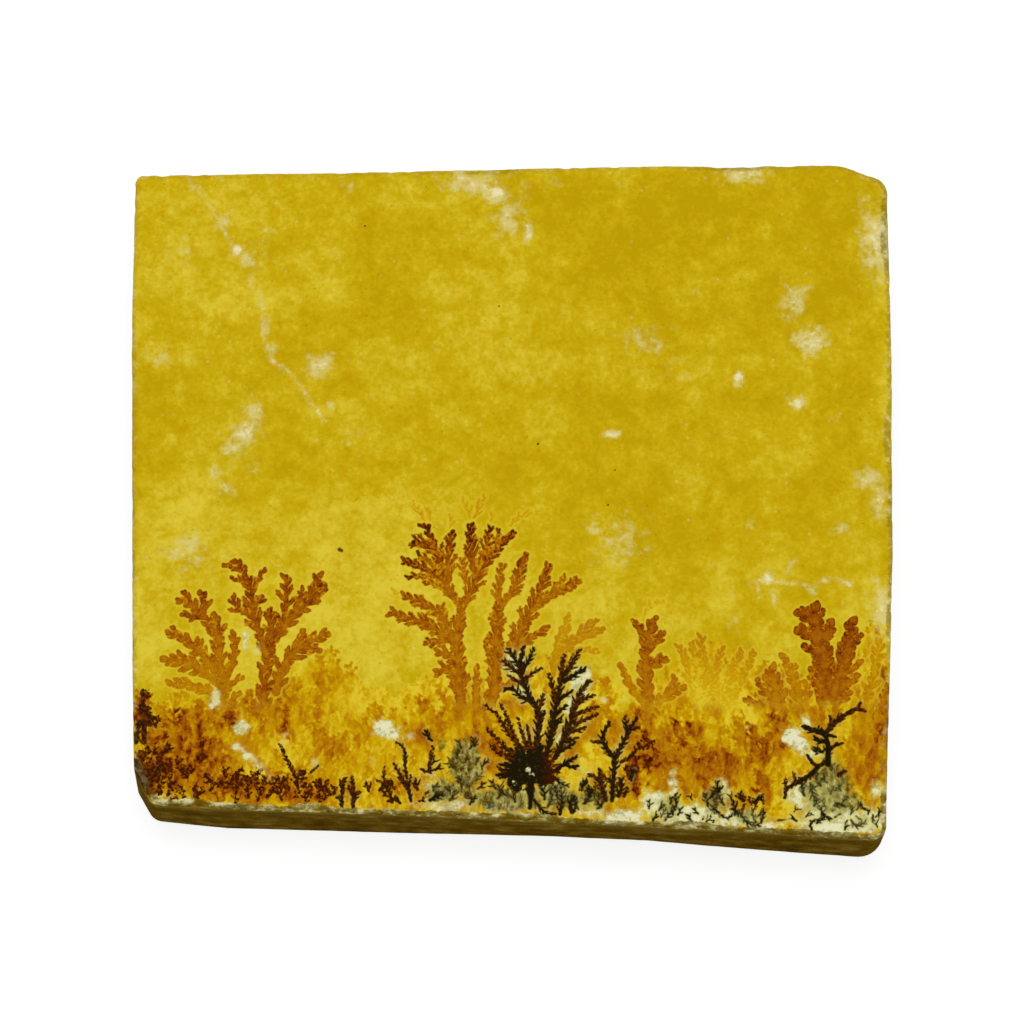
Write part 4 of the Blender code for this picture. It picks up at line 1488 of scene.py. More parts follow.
@dataclass(frozen=True)
class StoneFinish:
    """The colours of the stone and of what is drawn in it, from a screen's 0 to 255 scale."""
    ground_deep: Colour = linear(188, 156, 6)
    ground: Colour = linear(200, 170, 16)
    ground_rust: Colour = linear(200, 152, 4)
    ground_light: Colour = linear(212, 187, 42)
    ground_pale: Colour = linear(219, 197, 56)
    yellow: Colour = linear(222, 195, 44)
    gold: Colour = linear(203, 162, 6)
    amber: Colour = linear(186, 132, 6)
    orange: Colour = linear(172, 108, 8)
    brown: Colour = linear(144, 72, 5)
    dark_brown: Colour = linear(92, 32, 4)
    black_brown: Colour = linear(52, 19, 5)
    soot: Colour = linear(28, 23, 8)
    maroon: Colour = linear(66, 22, 4)
    cream: Colour = linear(230, 228, 184)
    cream_shade: Colour = linear(166, 158, 92)
    cream_yellow: Colour = linear(208, 202, 104)
    olive_cloud: Colour = linear(112, 98, 34)
    bruise: Colour = linear(222, 208, 138)
    white: Colour = linear(238, 230, 186)
    arris: Colour = linear(220, 212, 158)
    arris_dull: Colour = linear(136, 126, 60)
    side: Colour = linear(98, 73, 12)
    side_dark: Colour = linear(62, 42, 4)
    # The pale stop of the walls' own tone, also used as painted light along the top of the near wall
    side_pale_and_lit: Colour = linear(136, 116, 48)
    fleck: Colour = linear(96, 80, 12)
    speck: Colour = linear(50, 40, 12)
    roughness: float = 0.62
    bump: float = 0.35
    bump_height: float = 0.12

    def stain(self, sheet: Sheet, tone: Signal) -> Any:
        """Return a stain's colour, from yellow through gold and orange to dark brown."""
        stops = ((0.0, self.yellow), (0.28, self.gold), (0.46, self.amber), (0.62, self.orange),
                 (0.80, self.brown), (0.96, self.dark_brown), (1.12, self.black_brown))
        most = stops[-1][0]
        return sheet.ramp(tone / most, tuple((place / most, colour) for place, colour in stops))

    def material(self) -> bpy.types.Material:
        """Build the stone's material from the slab's own attributes and noise."""
        sheet = Sheet("dendritic_limestone")
        ragged = sheet.noise(0.55, 3.0, shift=3.0) - 0.5
        fine = sheet.noise(0.22, 2.0, shift=9.0) - 0.5
        colour = self._ground(sheet, fine)
        colour = self._thicket(sheet, colour, ragged, fine)
        colour = self._bushes(sheet, colour, ragged, fine)
        colour = self._stains(sheet, colour, ragged, fine)
        colour = self._ferns(sheet, colour, ragged, fine)
        colour = self._wear(sheet, colour, ragged, fine)
        colour = self._walls(sheet, colour, ragged, fine)
        sheet.feed(sheet.surface.inputs["Base Color"], colour)
        self._relief(sheet, fine)
        return sheet.material

    def _ground(self, sheet: Sheet, fine: Signal) -> Any:
        """Return the mottled gold ground."""
        broad = sheet.noise(6.0, 3.0, shift=1.0)
        patches = sheet.noise(2.2, 3.0, shift=5.0, rough=0.6)
        mottle = sheet.noise(0.95, 3.0, shift=7.0, rough=0.7)
        grit = sheet.noise(0.42, 2.0, shift=11.0)
        lift = sheet.attribute("pale_ground")
        sink = sheet.attribute("deep_ground")
        level = ((broad - 0.5) * 1.3 + (patches - 0.5) * 1.1 + (mottle - 0.5) * 0.9
                 + (grit - 0.5) * 0.8 + fine * 0.25 + 0.42 + lift * 0.34 - sink * 0.36)
        colour = sheet.ramp(level, ((0.0, self.ground_deep), (0.42, self.ground),
                                    (0.75, self.ground_light), (1.0, self.ground_pale)))
        rusty = sheet.noise(1.6, 3.0, shift=13.0, rough=0.65).rise(0.58, 0.74)
        colour = sheet.mix(rusty * 0.5, colour, self.ground_rust)
        distance, number = sheet.cells(0.9)
        flecks = distance.rise(0.18, 0.04) * number.rise(0.70, 0.80)
        colour = sheet.mix(flecks * 0.35, colour, self.fleck)
        distance, number = sheet.cells(1.15, 17.0)
        dots = distance.rise(0.20, 0.03) * number.rise(0.76, 0.84)
        return sheet.mix(dots * 0.35, colour, self.bruise)

    def _thicket(self, sheet: Sheet, colour: Any, ragged: Signal, fine: Signal) -> Any:
        """Return the colour with the thicket of gold and brown fronds."""
        streaks = sheet.noise(0.7, 3.0, stretch=(1.0, 0.4, 1.0), shift=2.0) - 0.5
        clots = sheet.noise(0.8, 3.0, shift=15.0, rough=0.65) - 0.5
        base = sheet.attribute("thicket_tone")
        leaves = ((sheet.leaves(0.62, 0.45) - 0.5) * 0.26
                  + (sheet.leaves(0.34, 0.5, 4.0, 0.3) - 0.5) * 0.18)
        tone = (base + leaves + streaks * 0.36 + ragged * 0.20 + fine * 0.16
                + base.rise(0.55, 0.9) * clots * 1.2)
        cover = (sheet.attribute("thicket") + leaves * 0.5 + streaks * 0.4
                 + ragged * 0.2).rise(0.32, 0.60)
        return sheet.mix(cover, colour, self.stain(sheet, tone))

    def _bushes(self, sheet: Sheet, colour: Any, ragged: Signal, fine: Signal) -> Any:
        """Return the colour with the orange bushes, the gold sprigs and their pale halos."""
        sprig = sheet.attribute("sprig") + ragged * 0.12
        seam = (sheet.attribute("sprig_seam") + fine * 0.1).rise(0.14, 0.02)
        sprig_tone = (sheet.attribute("sprig_tone") + fine * 0.2 + ragged * 0.2 - seam * 0.22
                      + sprig.rise(-0.16, -0.02) * 0.05)
        hidden = ((1.0 - sheet.attribute("front") * 0.85)
                  * (sheet.attribute("foot") + ragged * 0.6).rise(0.1, 0.9))
        colour = sheet.mix(sprig.rise(0.30, 0.04) * hidden * 0.4, colour, self.yellow)
        colour = sheet.mix(sprig.rise(0.07, -0.07) * hidden * 0.92, colour,
                           self.stain(sheet, sprig_tone))
        distance = sheet.attribute("bush") + ragged * 0.14 + fine * 0.08
        colour = sheet.mix(distance.rise(0.34, 0.05) * hidden * hidden * 0.5, colour, self.yellow)
        seam = (sheet.attribute("bush_seam") + ragged * 0.12 + fine * 0.14).rise(0.20, 0.01)
        vein = (sheet.attribute("bush_seam") + fine * 0.12).rise(0.44, 0.18) * (1.0 - seam)
        rim = distance.rise(-0.20, -0.03)
        inner = sheet.noise(0.8, 3.0, shift=14.0, rough=0.65) - 0.5
        leaves = sheet.leaves(0.5, 0.7, 9.0, 0.4) - 0.5
        tone = (sheet.attribute("bush_tone") + rim * 0.07 + vein * 0.10 - 0.03 - seam * 0.24
                + inner * 0.46 + leaves * 0.10 + ragged * 0.20 + fine * 0.18)
        return sheet.mix(distance.rise(0.07, -0.08) * hidden, colour, self.stain(sheet, tone))

    def _stains(self, sheet: Sheet, colour: Any, ragged: Signal, fine: Signal) -> Any:
        """Return the colour with the cream patches and the grey-green clouds."""
        clots = sheet.noise(0.9, 4.0, shift=21.0, rough=0.7)
        lumps = sheet.noise(0.8, 3.0, shift=25.0, rough=0.6)
        cream = (sheet.attribute("cream") + ragged * 0.45 + (lumps - 0.5) * 1.5
                 + fine * 0.10).rise(0.30, 0.95)
        shade = (clots + fine * 0.2).rise(0.52, 0.38)
        edge = sheet.mix(cream.rise(0.9, 0.3), self.cream, self.cream_yellow)
        colour = sheet.mix(cream, colour, sheet.mix(shade * 0.75, edge, self.cream_shade))
        cloud = (sheet.attribute("cloud") * 1.2 + (lumps - 0.5) * 1.1
                 + ragged * 0.4).rise(0.36, 0.80)
        feathers = (sheet.noise(0.55, 4.0, stretch=(1.0, 0.5, 1.0), shift=27.0, rough=0.7)
                    + fine * 0.3)
        cloud_colour = sheet.ramp(feathers, ((0.42, self.soot), (0.53, self.olive_cloud),
                                             (0.64, self.cream_shade), (0.79, self.cream)))
        return sheet.mix(cloud * 0.92, colour, cloud_colour)

    def _ferns(self, sheet: Sheet, colour: Any, ragged: Signal, fine: Signal) -> Any:
        """Return the colour with the black ferns, the arched disc and their cream halo."""
        tone = sheet.attribute("fern_tone")
        loose = tone.rise(0.60, 0.85)
        crumbs = sheet.noise(0.34, 3.0, shift=37.0, rough=0.65) - 0.5
        patches = sheet.noise(1.2, 2.0, shift=39.0)
        distance = sheet.attribute("fern") + ragged * 0.10 + fine * 0.06 + loose * crumbs * 0.9
        distance = distance / (sheet.attribute("cloud").least(1.0) * 1.4 + 1.0)
        pale = sheet.attribute("cream").least(1.0) * 0.5
        halo = distance.rise(0.30, 0.04) * (
            tone.rise(0.75, 0.30) * patches.rise(0.42, 0.60) * 0.22 + pale)
        colour = sheet.mix(halo, colour, self.cream_yellow)
        rust = sheet.mix(crumbs.rise(-0.05, 0.14), self.maroon, self.brown)
        black = sheet.mix(tone + fine * 0.5 - 0.1, self.soot, rust)
        colour = sheet.mix(distance.rise(0.06, -0.06), colour, black)
        disc = sheet.attribute("disc") + ragged * 0.45 + fine * 0.3
        black = sheet.mix(sheet.attribute("disc_tone") * 0.8 + ragged * 0.8, self.soot, self.maroon)
        black = sheet.mix((crumbs + fine * 0.3).rise(0.05, 0.26) * 0.32, black, self.olive_cloud)
        return sheet.mix(disc.rise(0.10, -0.10), colour, black)

    def _wear(self, sheet: Sheet, colour: Any, ragged: Signal, fine: Signal) -> Any:
        """Return the colour with bruises, hairline cracks and specks."""
        bitty = sheet.noise(0.7, 4.0, shift=31.0, rough=0.7)
        patch = sheet.noise(1.3, 3.0, shift=35.0, rough=0.6)
        strength = sheet.attribute("bruise")
        there = strength.rise(0.02, 0.30)
        soft = (strength + (patch - 0.5) * 2.0 + ragged * 0.8
                + fine * 0.15).rise(0.34, 1.15) * there
        colour = sheet.mix(soft * 0.70, colour, sheet.mix(soft, self.cream_yellow, self.bruise))
        bits = (strength * 0.8 + (bitty - 0.5) * 2.0 + fine * 0.3).rise(0.72, 1.20) * there
        colour = sheet.mix(bits * 0.75, colour, self.white)
        crack = sheet.attribute("crack") + ragged * 0.9 + (bitty - 0.5) * 0.5
        beads = (sheet.noise(1.1, 4.0, shift=41.0, rough=0.7).rise(0.44, 0.62)
                 * sheet.attribute("crack_tone"))
        colour = sheet.mix(crack.rise(0.40, 0.0) * (beads * 0.35 + 0.06), colour, self.bruise)
        colour = sheet.mix((crack + fine * 0.4).rise(0.10, -0.06) * beads * 0.62, colour, self.white)
        speck = (sheet.attribute("speck") + fine * 0.5).rise(0.20, 0.62)
        return sheet.mix(speck * 0.9, colour, self.speck)

    def _walls(self, sheet: Sheet, colour: Any, ragged: Signal, fine: Signal) -> Any:
        """Return the colour with the worn arris and the sawn sides and back, with painted shade
        towards the walls' foot and painted light along the top of the near wall.
        """
        level = sheet.attribute("level")
        near, right = sheet.attribute("near"), sheet.attribute("right")
        bedding = sheet.noise(1.6, 4.0, stretch=(0.3, 0.3, 1.4), shift=51.0, rough=0.6)
        blotches = sheet.noise(2.0, 3.0, shift=55.0) - 0.5
        # Painted shade: the walls' tone mixes bedding and blotches with a darkening towards their
        # foot, where shade falls near the floor
        painted_foot_shade = level.rise(1.9, 3.0)
        shade = (bedding - 0.5) * 0.7 + 0.5 + fine * 0.4 + blotches * 0.8 - painted_foot_shade * 0.22
        side = sheet.ramp(shade, ((0.22, self.side_dark), (0.52, self.side),
                                  (0.88, self.side_pale_and_lit)))
        # Partly a pale band under the worn arris and partly painted light: the near wall is lighter
        # along its top
        side = sheet.mix((level + blotches).rise(1.56, 0.95) * near * 0.75, side, self.side_pale_and_lit)
        colour = sheet.mix((level + near * 0.12 + ragged * 0.5).rise(0.75, 1.25), colour, side)
        worn = (sheet.attribute("worn") + ragged * 1.8 + fine * 0.4).rise(0.46, 0.80)
        patchy = (sheet.noise(1.1, 4.0, stretch=(0.6, 1.0, 1.0), shift=61.0, rough=0.65)
                  + ragged * 0.25)
        arris = sheet.ramp(patchy, ((0.42, self.side), (0.52, self.arris_dull), (0.64, self.arris)))
        strength = near * 0.85 + right * 0.12 + sheet.attribute("bruise") * 0.4 + 0.14
        return sheet.mix(worn * strength.least(0.92), colour, arris)

    def _relief(self, sheet: Sheet, fine: Signal) -> None:
        """Give the surface its grain, its pits and its uneven dullness."""
        grain = sheet.noise(0.16, 3.0, shift=71.0)
        pits_distance, pits_number = sheet.cells(0.7, 7.0)
        pits = pits_distance.rise(0.02, 0.14).most(pits_number.rise(0.2, 0.1))
        scuffs = sheet.noise(1.4, 4.0, shift=81.0, rough=0.6)
        wall = sheet.attribute("level").rise(0.8, 1.4)
        saw = sheet.noise(0.5, 2.0, stretch=(0.12, 0.12, 2.0), shift=91.0)
        height = grain * 0.35 + pits * 0.25 + scuffs * 0.5 + saw * wall * 1.2
        bump = sheet.node("ShaderNodeBump", {}, {
            "Strength": self.bump, "Distance": self.bump_height * MM, "Height": height})
        sheet.feed(sheet.surface.inputs["Normal"], bump.outputs[0])
        rough = self.roughness + (scuffs - 0.5) * 0.22 + fine * 0.08 + wall * 0.2
        sheet.feed(sheet.surface.inputs["Roughness"], rough)
        sheet.surface.inputs["Specular IOR Level"].default_value = 0.0


# The slab


@dataclass
class Slab:
    """The stone itself: one closed mesh with a fine face, a worn arris and sawn sides."""
    plan: SlabPlan = field(default_factory=SlabPlan)
    finish: StoneFinish = field(default_factory=StoneFinish)
    columns: int = 100
    rows: int = 92
    # The arris's rings: a level, how far down and how far in, as shares of its width
    arris_rings: tuple[tuple[float, ...], ...] = (
        (0.25, 0.08, 0.62), (0.5, 0.3, 0.28), (0.75, 0.62, 0.08), (1.0, 1.0, 0.0))
    wall_heights: tuple[float, ...] = (7.4, 6.2, 5.0, 3.8, 2.6, 1.4, 0.8)
    wall_level: float = 1.5
    back_levels: tuple[float, float, float] = (3.0, 3.5, 4.0)
    back_round: float = 0.3
    back_inner: float = 0.93
    fine_near: tuple[float, ...] = (0.80, 0.32, 0.06)
    arris_depth: float = 1.6
    smooth_degrees: float = 50.0
    map_middle: Point = (0.405, 0.628)
    map_scale: float = 0.80 / 80.6
    strip_foot: float = 0.005
    strip_step: float = 0.062
    strip_scale: float = 0.0575 / 9.2
    back_middle: Point = (0.905, 0.8)
    back_scale: float = 0.18 / 73.6

    @property
    def top(self) -> float:
        """The height of the face at its rim."""
        return THICKNESS - self.plan.rim_drop

    def build(self) -> bpy.types.Object:
        """Model the slab and hand it to the frame in place of its solid."""
        drawing = Drawing()
        stations = Stations.around(self.plan, self.columns, self.rows)
        slab = self._face_grid(stations)
        self._walls(slab, stations)
        self._refine(slab, drawing)
        self._relief(slab)
        self._close(slab)
        self._attributes(slab, drawing)
        self._unwrap(slab)
        slab.data.materials.append(self.finish.material())
        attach(slab, BODY)
        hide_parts(SLAB_NODE)
        return slab

    def _face_grid(self, stations: Stations) -> bpy.types.Object:
        """Add a grid and spread it over the face, inside its rim."""
        bpy.ops.object.select_all(action="DESELECT")
        bpy.ops.mesh.primitive_grid_add(x_subdivisions=self.columns,
                                        y_subdivisions=self.rows, size=2.0)
        slab = bpy.context.object
        slab.name = "limestone"
        mesh = slab.data
        flat = np.empty(len(mesh.vertices) * 3)
        mesh.vertices.foreach_get("co", flat)
        grid = flat.reshape(-1, 3)
        column = np.rint((grid[:, 0] + 1) / 2 * self.columns).astype(int)
        row = np.rint((grid[:, 1] + 1) / 2 * self.rows).astype(int)
        near, right, far, left = stations.sides()
        u = (column / self.columns)[:, None]
        v = (row / self.rows)[:, None]
        place = (1 - v) * near[column] + v * far[column] + (1 - u) * left[row] + u * right[row]
        place -= (1 - u) * (1 - v) * near[0] + u * (1 - v) * near[-1]
        place -= (1 - u) * v * far[0] + u * v * far[-1]
        grid[:, :2] = place * MM
        grid[:, 2] = self.top * MM
        mesh.vertices.foreach_set("co", grid.ravel())
        station = np.full(len(grid), -1.0)
        a, b = self.columns, self.columns + self.rows
        station[row == 0] = column[row == 0]
        right_side = column == self.columns
        station[right_side] = a + row[right_side]
        far_side = row == self.rows
        station[far_side] = b + self.columns - column[far_side]
        left_side = (column == 0) & (row > 0)
        station[left_side] = (b + self.columns + self.rows - row[left_side]) % (2 * b)
        self._store(mesh, "station", station)
        self._store(mesh, "level", np.zeros(len(grid)))
        mesh.update()
        return slab

    def _store(self, mesh: bpy.types.Mesh, name: str, values: np.ndarray) -> None:
        """Keep one number for each vertex."""
        layer = mesh.attributes.get(name) or mesh.attributes.new(name, "FLOAT", "POINT")
        layer.data.foreach_set("value", np.ascontiguousarray(values, dtype=np.float32))

    def _read(self, mesh: bpy.types.Mesh, name: str) -> np.ndarray:
        """Return the number kept for each vertex."""
        values = np.empty(len(mesh.vertices), dtype=np.float32)
        mesh.attributes[name].data.foreach_get("value", values)
        return values

    def _places(self, mesh: bpy.types.Mesh) -> np.ndarray:
        """Return the vertices' places in millimetres."""
        flat = np.empty(len(mesh.vertices) * 3)
        mesh.vertices.foreach_get("co", flat)
        return flat.reshape(-1, 3) / MM

    def _place(self, mesh: bpy.types.Mesh, places: np.ndarray) -> None:
        """Move the vertices to places in millimetres."""
        mesh.vertices.foreach_set("co", (places * MM).ravel())
        mesh.update()

    def _rings(self, stations: Stations) -> list[tuple[float, np.ndarray, np.ndarray]]:
        """Return the rings below the rim: a level, the heights and how far each is set in."""
        width = stations.width
        level = np.ones(len(width))
        back, corner = self.plan.back_arris, self.plan.back_arris * self.back_round
        rings = [(number, self.top - width * down, width * inside)
                 for number, down, inside in self.arris_rings]
        rings += [(self.wall_level + number * 0.1, level * height, level * 0.0)
                  for number, height in enumerate(self.wall_heights)]
        rings += [(number, level * height, level * inside) for number, height, inside
                  in zip(self.back_levels, (back, corner, 0.0), (0.0, corner, back))]
        return rings

    def _walls(self, slab: bpy.types.Object, stations: Stations) -> None:
        """Extrude the rim over the arris and down the wall, ring by ring, and fill the back."""
        mesh = slab.data
        bpy.ops.object.mode_set(mode="EDIT")
        bpy.ops.mesh.select_mode(type="EDGE")
        bpy.ops.mesh.select_all(action="DESELECT")
        bpy.ops.mesh.select_non_manifold(
            extend=False, use_wire=False, use_boundary=True, use_multi_face=False,
            use_non_contiguous=False, use_verts=False)
        for level, heights, insets in self._rings(stations):
            bpy.ops.mesh.extrude_region()
            bpy.ops.object.mode_set(mode="OBJECT")
            chosen = self._chosen(mesh)
            number = np.rint(self._read(mesh, "station")[chosen]).astype(int)
            share = (heights / THICKNESS)[number][:, None]
            flat = stations.back[number] * (1 - share) + stations.face[number] * share
            flat += stations.inward[number] * insets[number][:, None]
            places = self._places(mesh)
            places[chosen, :2] = flat
            places[chosen, 2] = heights[number]
            self._place(mesh, places)
            levels = self._read(mesh, "level")
            levels[chosen] = level
            self._store(mesh, "level", levels)
            bpy.ops.object.mode_set(mode="EDIT")
        bpy.ops.mesh.extrude_region()
        bpy.ops.object.mode_set(mode="OBJECT")
        chosen = self._chosen(mesh)
        places = self._places(mesh)
        places[chosen, :2] *= self.back_inner
        self._place(mesh, places)
        bpy.ops.object.mode_set(mode="EDIT")
        bpy.ops.mesh.edge_face_add()
        bpy.ops.mesh.select_all(action="SELECT")
        bpy.ops.mesh.normals_make_consistent(inside=False)
        bpy.ops.mesh.select_mode(type="FACE")
        bpy.ops.mesh.select_all(action="DESELECT")
        bpy.ops.object.mode_set(mode="OBJECT")

    def _chosen(self, mesh: bpy.types.Mesh) -> np.ndarray:
        """Return which vertices are selected."""
        flags = np.empty(len(mesh.vertices), dtype=bool)
        mesh.vertices.foreach_get("select", flags)
        return np.nonzero(flags)[0]

    def _subdivide(self, slab: bpy.types.Object, wanted: np.ndarray) -> None:
        """Cut the wanted faces in four."""
        mesh = slab.data
        mesh.vertices.foreach_set("select", np.zeros(len(mesh.vertices), dtype=bool))
        mesh.edges.foreach_set("select", np.zeros(len(mesh.edges), dtype=bool))
        mesh.polygons.foreach_set("select", wanted)
        bpy.ops.object.mode_set(mode="EDIT")
        bpy.ops.mesh.subdivide(number_cuts=1)
        bpy.ops.mesh.select_all(action="DESELECT")
        bpy.ops.object.mode_set(mode="OBJECT")

    def _faces(self, mesh: bpy.types.Mesh) -> tuple[np.ndarray, np.ndarray, np.ndarray]:
        """Return the faces' middles in millimetres, their normals and their corner counts."""
        count = len(mesh.polygons)
        middles, normals = np.empty(count * 3), np.empty(count * 3)
        corners = np.empty(count, dtype=np.int32)
        mesh.polygons.foreach_get("center", middles)
        mesh.polygons.foreach_get("normal", normals)
        mesh.polygons.foreach_get("loop_total", corners)
        return middles.reshape(-1, 3) / MM, normals.reshape(-1, 3), corners

    def _refine(self, slab: bpy.types.Object, drawing: Drawing) -> None:
        """Cut the face finer near the drawing, finest near the black ferns, the arris once."""
        mesh = slab.data
        for number, reach in enumerate(self.fine_near):
            middles, normals, corners = self._faces(mesh)
            on_face = (middles[:, 2] > self.top - 0.01) & (corners == 4)
            wanted = np.zeros(len(middles), dtype=bool)
            detail = drawing.detail(middles[on_face, :2])
            closest = detail["fern"]
            if number < 2:
                for name in ("bush", "sprig", "crack", "thicket"):
                    closest = np.minimum(closest, detail[name])
            else:
                closest = np.minimum(closest, detail["bush"] * 2.0)
            closest = np.minimum(closest, detail["speck"])
            wanted[on_face] = closest < reach
            if number == 0:
                high = middles[:, 2] > self.top - self.arris_depth
                wanted |= high & ~on_face & (normals[:, 2] < 0.99)
            self._subdivide(slab, wanted)
            log.info("face cut %d: %d faces", number + 1, len(mesh.polygons))

    def _relief(self, slab: bpy.types.Object) -> None:
        """Swell the face slightly and chip and roughen the arris and the wall, always inwards."""
        mesh = slab.data
        places = self._places(mesh)
        level = self._read(mesh, "level")
        flat = places[:, :2]
        edge = np.minimum(38.5 - np.abs(flat[:, 0]), 34.0 - np.abs(flat[:, 1]))
        on_face = level == 0.0
        rise = smoothstep(edge, 0.0, 4.0) * self.plan.rim_drop
        bruise = stained(BRUISES, flat)
        for i in np.nonzero(on_face)[0]:
            x, y = flat[i]
            swell = noise.noise(Vector((x / 9.0, y / 9.0, 3.0)))
            places[i, 2] = self.top + rise[i] * (0.7 + 0.3 * swell)
            if bruise[i] > 0.3:
                pit = max(0.0, noise.noise(Vector((x / 0.9, y / 0.9, 8.0))))
                places[i, 2] -= 0.10 * pit * min(1.0, bruise[i])
        for i in np.nonzero((level > 0.0) & (level < 3.9))[0]:
            x, y, z = places[i]
            here = Vector((x, y, z))
            inwards = self._inwards(x, y)
            chip = max(0.0, noise.noise(here / 1.3 + Vector((5.0, 0.0, 0.0))) - 0.05)
            crumble = noise.noise(here / 0.55) + 0.6 * noise.noise(here / 0.27)
            arris = max(0.0, 1.0 - abs(level[i] - 0.6) / 0.8)
            sawn = noise.noise(Vector((x / 6.0, y / 6.0, z / 1.5))) + 0.5 * noise.noise(here / 0.9)
            depth = (arris * (0.30 * chip + 0.03 * (1.0 + crumble))
                     + 0.04 * (1.2 + sawn) * min(1.0, level[i]))
            places[i, 0] += inwards[0] * depth
            places[i, 1] += inwards[1] * depth
            if level[i] < 1.2:
                places[i, 2] -= arris * (0.25 * chip + 0.02 * (1.0 + crumble))
        self._place(mesh, places)

    def _inwards(self, x: float, y: float) -> Point:
        """Return the direction into the slab from a place on its wall, rounding its corners."""
        aside = max(0.0, abs(x) - 36.0) / 4.0
        away = max(0.0, abs(y) - 31.0) / 4.0
        dx, dy = -math.copysign(aside ** 3, x), -math.copysign(away ** 3, y)
        size = math.hypot(dx, dy) or 1.0
        return dx / size, dy / size

    def _close(self, slab: bpy.types.Object) -> None:
        """Cut the faces into triangles and smooth all but the sharp edges."""
        bpy.ops.object.select_all(action="DESELECT")
        slab.select_set(True)
        bpy.context.view_layer.objects.active = slab
        bpy.ops.object.mode_set(mode="EDIT")
        bpy.ops.mesh.select_all(action="SELECT")
        bpy.ops.mesh.quads_convert_to_tris(quad_method="BEAUTY", ngon_method="BEAUTY")
        bpy.ops.object.mode_set(mode="OBJECT")
        bpy.ops.object.shade_smooth_by_angle(angle=math.radians(self.smooth_degrees))
        log.info("slab: %d triangles", len(slab.data.polygons))

    def _attributes(self, slab: bpy.types.Object, drawing: Drawing) -> None:
        """Keep at every vertex what the material draws there."""
        mesh = slab.data
        places = self._places(mesh)
        for name, values in drawing.layers(places[:, :2]).items():
            self._store(mesh, name, values)
        level = self._read(mesh, "level")
        depth = THICKNESS - places[:, 2]
        stations = Stations.around(self.plan, self.columns, self.rows)
        rim = self._rim_distance(stations, places[:, :2])
        worn = np.where(level > 0.0, smoothstep(-depth, -1.0, -0.3), smoothstep(-rim, -0.45, 0.0))
        self._store(mesh, "worn", worn)
        self._store(mesh, "near", smoothstep(-places[:, 1], 30.0, 32.0))
        self._store(mesh, "right", smoothstep(places[:, 0], 38.0, 39.0))

    def _rim_distance(self, stations: Stations, points: np.ndarray) -> np.ndarray:
        """Return how far points of the face are from the rim."""
        loop = np.vstack([stations.rim, stations.rim[:1]])
        steps = np.arange(0.0, len(loop) - 1, 0.2)
        rim = np.stack([np.interp(steps, np.arange(len(loop)), loop[:, axis])
                        for axis in (0, 1)], axis=1)
        nearest = np.full(len(points), FAR)
        outer = np.nonzero((np.abs(points[:, 0]) > 37.8) | (np.abs(points[:, 1]) > 31.2))[0]
        for start in range(0, len(outer), 1000):
            block = outer[start:start + 1000]
            gaps = points[block][:, None, :] - rim[None, :, :]
            nearest[block] = np.sqrt((gaps ** 2).sum(axis=2)).min(axis=1)
        return nearest

    def _unwrap(self, slab: bpy.types.Object) -> None:
        """Lay out a map: the face large, the four sides as strips and the back small."""
        mesh = slab.data
        mesh.uv_layers.new(name=BAKE_MAP)
        for other in list(mesh.uv_layers):
            if other.name != BAKE_MAP:
                mesh.uv_layers.remove(other)
        places = self._places(mesh)
        level = self._read(mesh, "level")
        count = len(mesh.polygons)
        corners = np.empty(len(mesh.loops), dtype=np.int32)
        mesh.loops.foreach_get("vertex_index", corners)
        triangles = corners.reshape(count, 3)
        _, normals, _ = self._faces(mesh)
        highest = level[triangles].max(axis=1)
        lowest = level[triangles].min(axis=1)
        back = lowest >= 3.99
        face = highest <= 1.001
        middle = places[triangles].mean(axis=1)
        uv = np.zeros((count, 3, 2))
        x, y, z = (places[triangles][:, :, axis] for axis in range(3))
        uv[:, :, 0] = self.map_middle[0] + x * self.map_scale
        uv[:, :, 1] = self.map_middle[1] + y * self.map_scale
        sideways = np.abs(normals[:, 0]) > np.abs(normals[:, 1])
        sides = ((False, -1), (False, 1), (True, -1), (True, 1))
        for number, (turned, sign) in enumerate(sides):
            along, axis = (y, 0) if turned else (x, 1)
            chosen = ~back & ~face & (sideways == turned) & (np.sign(middle[:, axis]) == sign)
            foot = self.strip_foot + number * self.strip_step
            uv[chosen, :, 0] = self.map_middle[0] + along[chosen] * self.map_scale
            uv[chosen, :, 1] = foot + z[chosen] * self.strip_scale
        uv[back, :, 0] = self.back_middle[0] + y[back] * self.back_scale
        uv[back, :, 1] = self.back_middle[1] + x[back] * self.back_scale
        mesh.uv_layers[BAKE_MAP].data.foreach_set("uv", uv.ravel())


# The studio


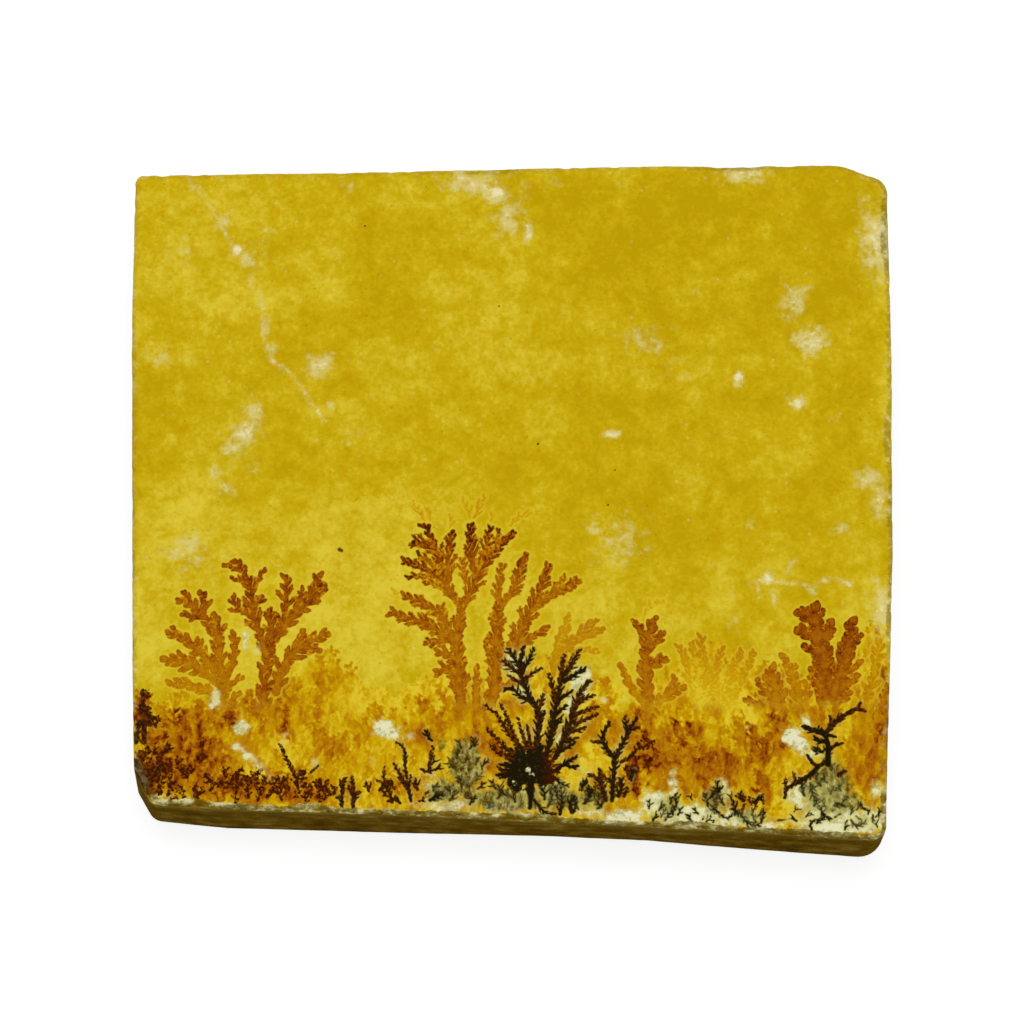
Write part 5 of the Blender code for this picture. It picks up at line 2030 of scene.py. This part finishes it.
@dataclass(frozen=True)
class Studio:
    """A pale floor, an even sky and one broad soft lamp above the slab."""
    floor_size: float = 4.0
    floor_glow: float = 0.84
    floor_shade: float = 0.22
    sky: float = 0.37
    lamp_power: float = 6.2
    lamp_size: float = 0.7
    lamp_height: float = 0.9
    lamp_behind: float = 0.25

    def build(self) -> None:
        """Add the floor, the sky and the lamp."""
        bpy.ops.object.select_all(action="DESELECT")
        bpy.ops.mesh.primitive_plane_add(size=self.floor_size, location=(0.0, 0.0, 0.0))
        floor = bpy.context.object
        floor.name = "pale_floor"
        sheet = Sheet("pale_floor")
        sheet.surface.inputs["Base Color"].default_value = (self.floor_shade,) * 3 + (1.0,)
        sheet.surface.inputs["Roughness"].default_value = 0.9
        sheet.surface.inputs["Specular IOR Level"].default_value = 0.0
        sheet.surface.inputs["Emission Color"].default_value = (1.0, 1.0, 1.0, 1.0)
        sheet.surface.inputs["Emission Strength"].default_value = self.floor_glow
        floor.data.materials.append(sheet.material)
        world = bpy.data.worlds.new("pale_sky")
        world.use_nodes = True
        background = world.node_tree.nodes["Background"]
        background.inputs["Color"].default_value = (1.0, 1.0, 1.0, 1.0)
        background.inputs["Strength"].default_value = self.sky
        bpy.context.scene.world = world
        place = Vector((0.0, self.lamp_behind, self.lamp_height))
        bpy.ops.object.light_add(type="AREA", location=place)
        lamp = bpy.context.object
        lamp.name = "soft_lamp"
        lamp.data.shape = "DISK"
        lamp.data.size = self.lamp_size
        lamp.data.energy = self.lamp_power
        lamp.rotation_euler = (-place).to_track_quat("-Z", "Y").to_euler()
        scene = bpy.context.scene
        scene.view_settings.view_transform = "Standard"
        scene.view_settings.look = "None"
        scene.view_settings.exposure = 0.0
        scene.view_settings.gamma = 1.0


def main() -> None:
    """Build the camera, the slab and the studio, and note the sizes."""
    logging.basicConfig(level=logging.INFO, format="%(message)s")
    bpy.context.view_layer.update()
    VIEW.add_camera()
    slab = Slab().build()
    log.info("%s: built", slab.name)
    Studio().build()
    log.info("studio: built")


if __name__ == "__main__":
    main()
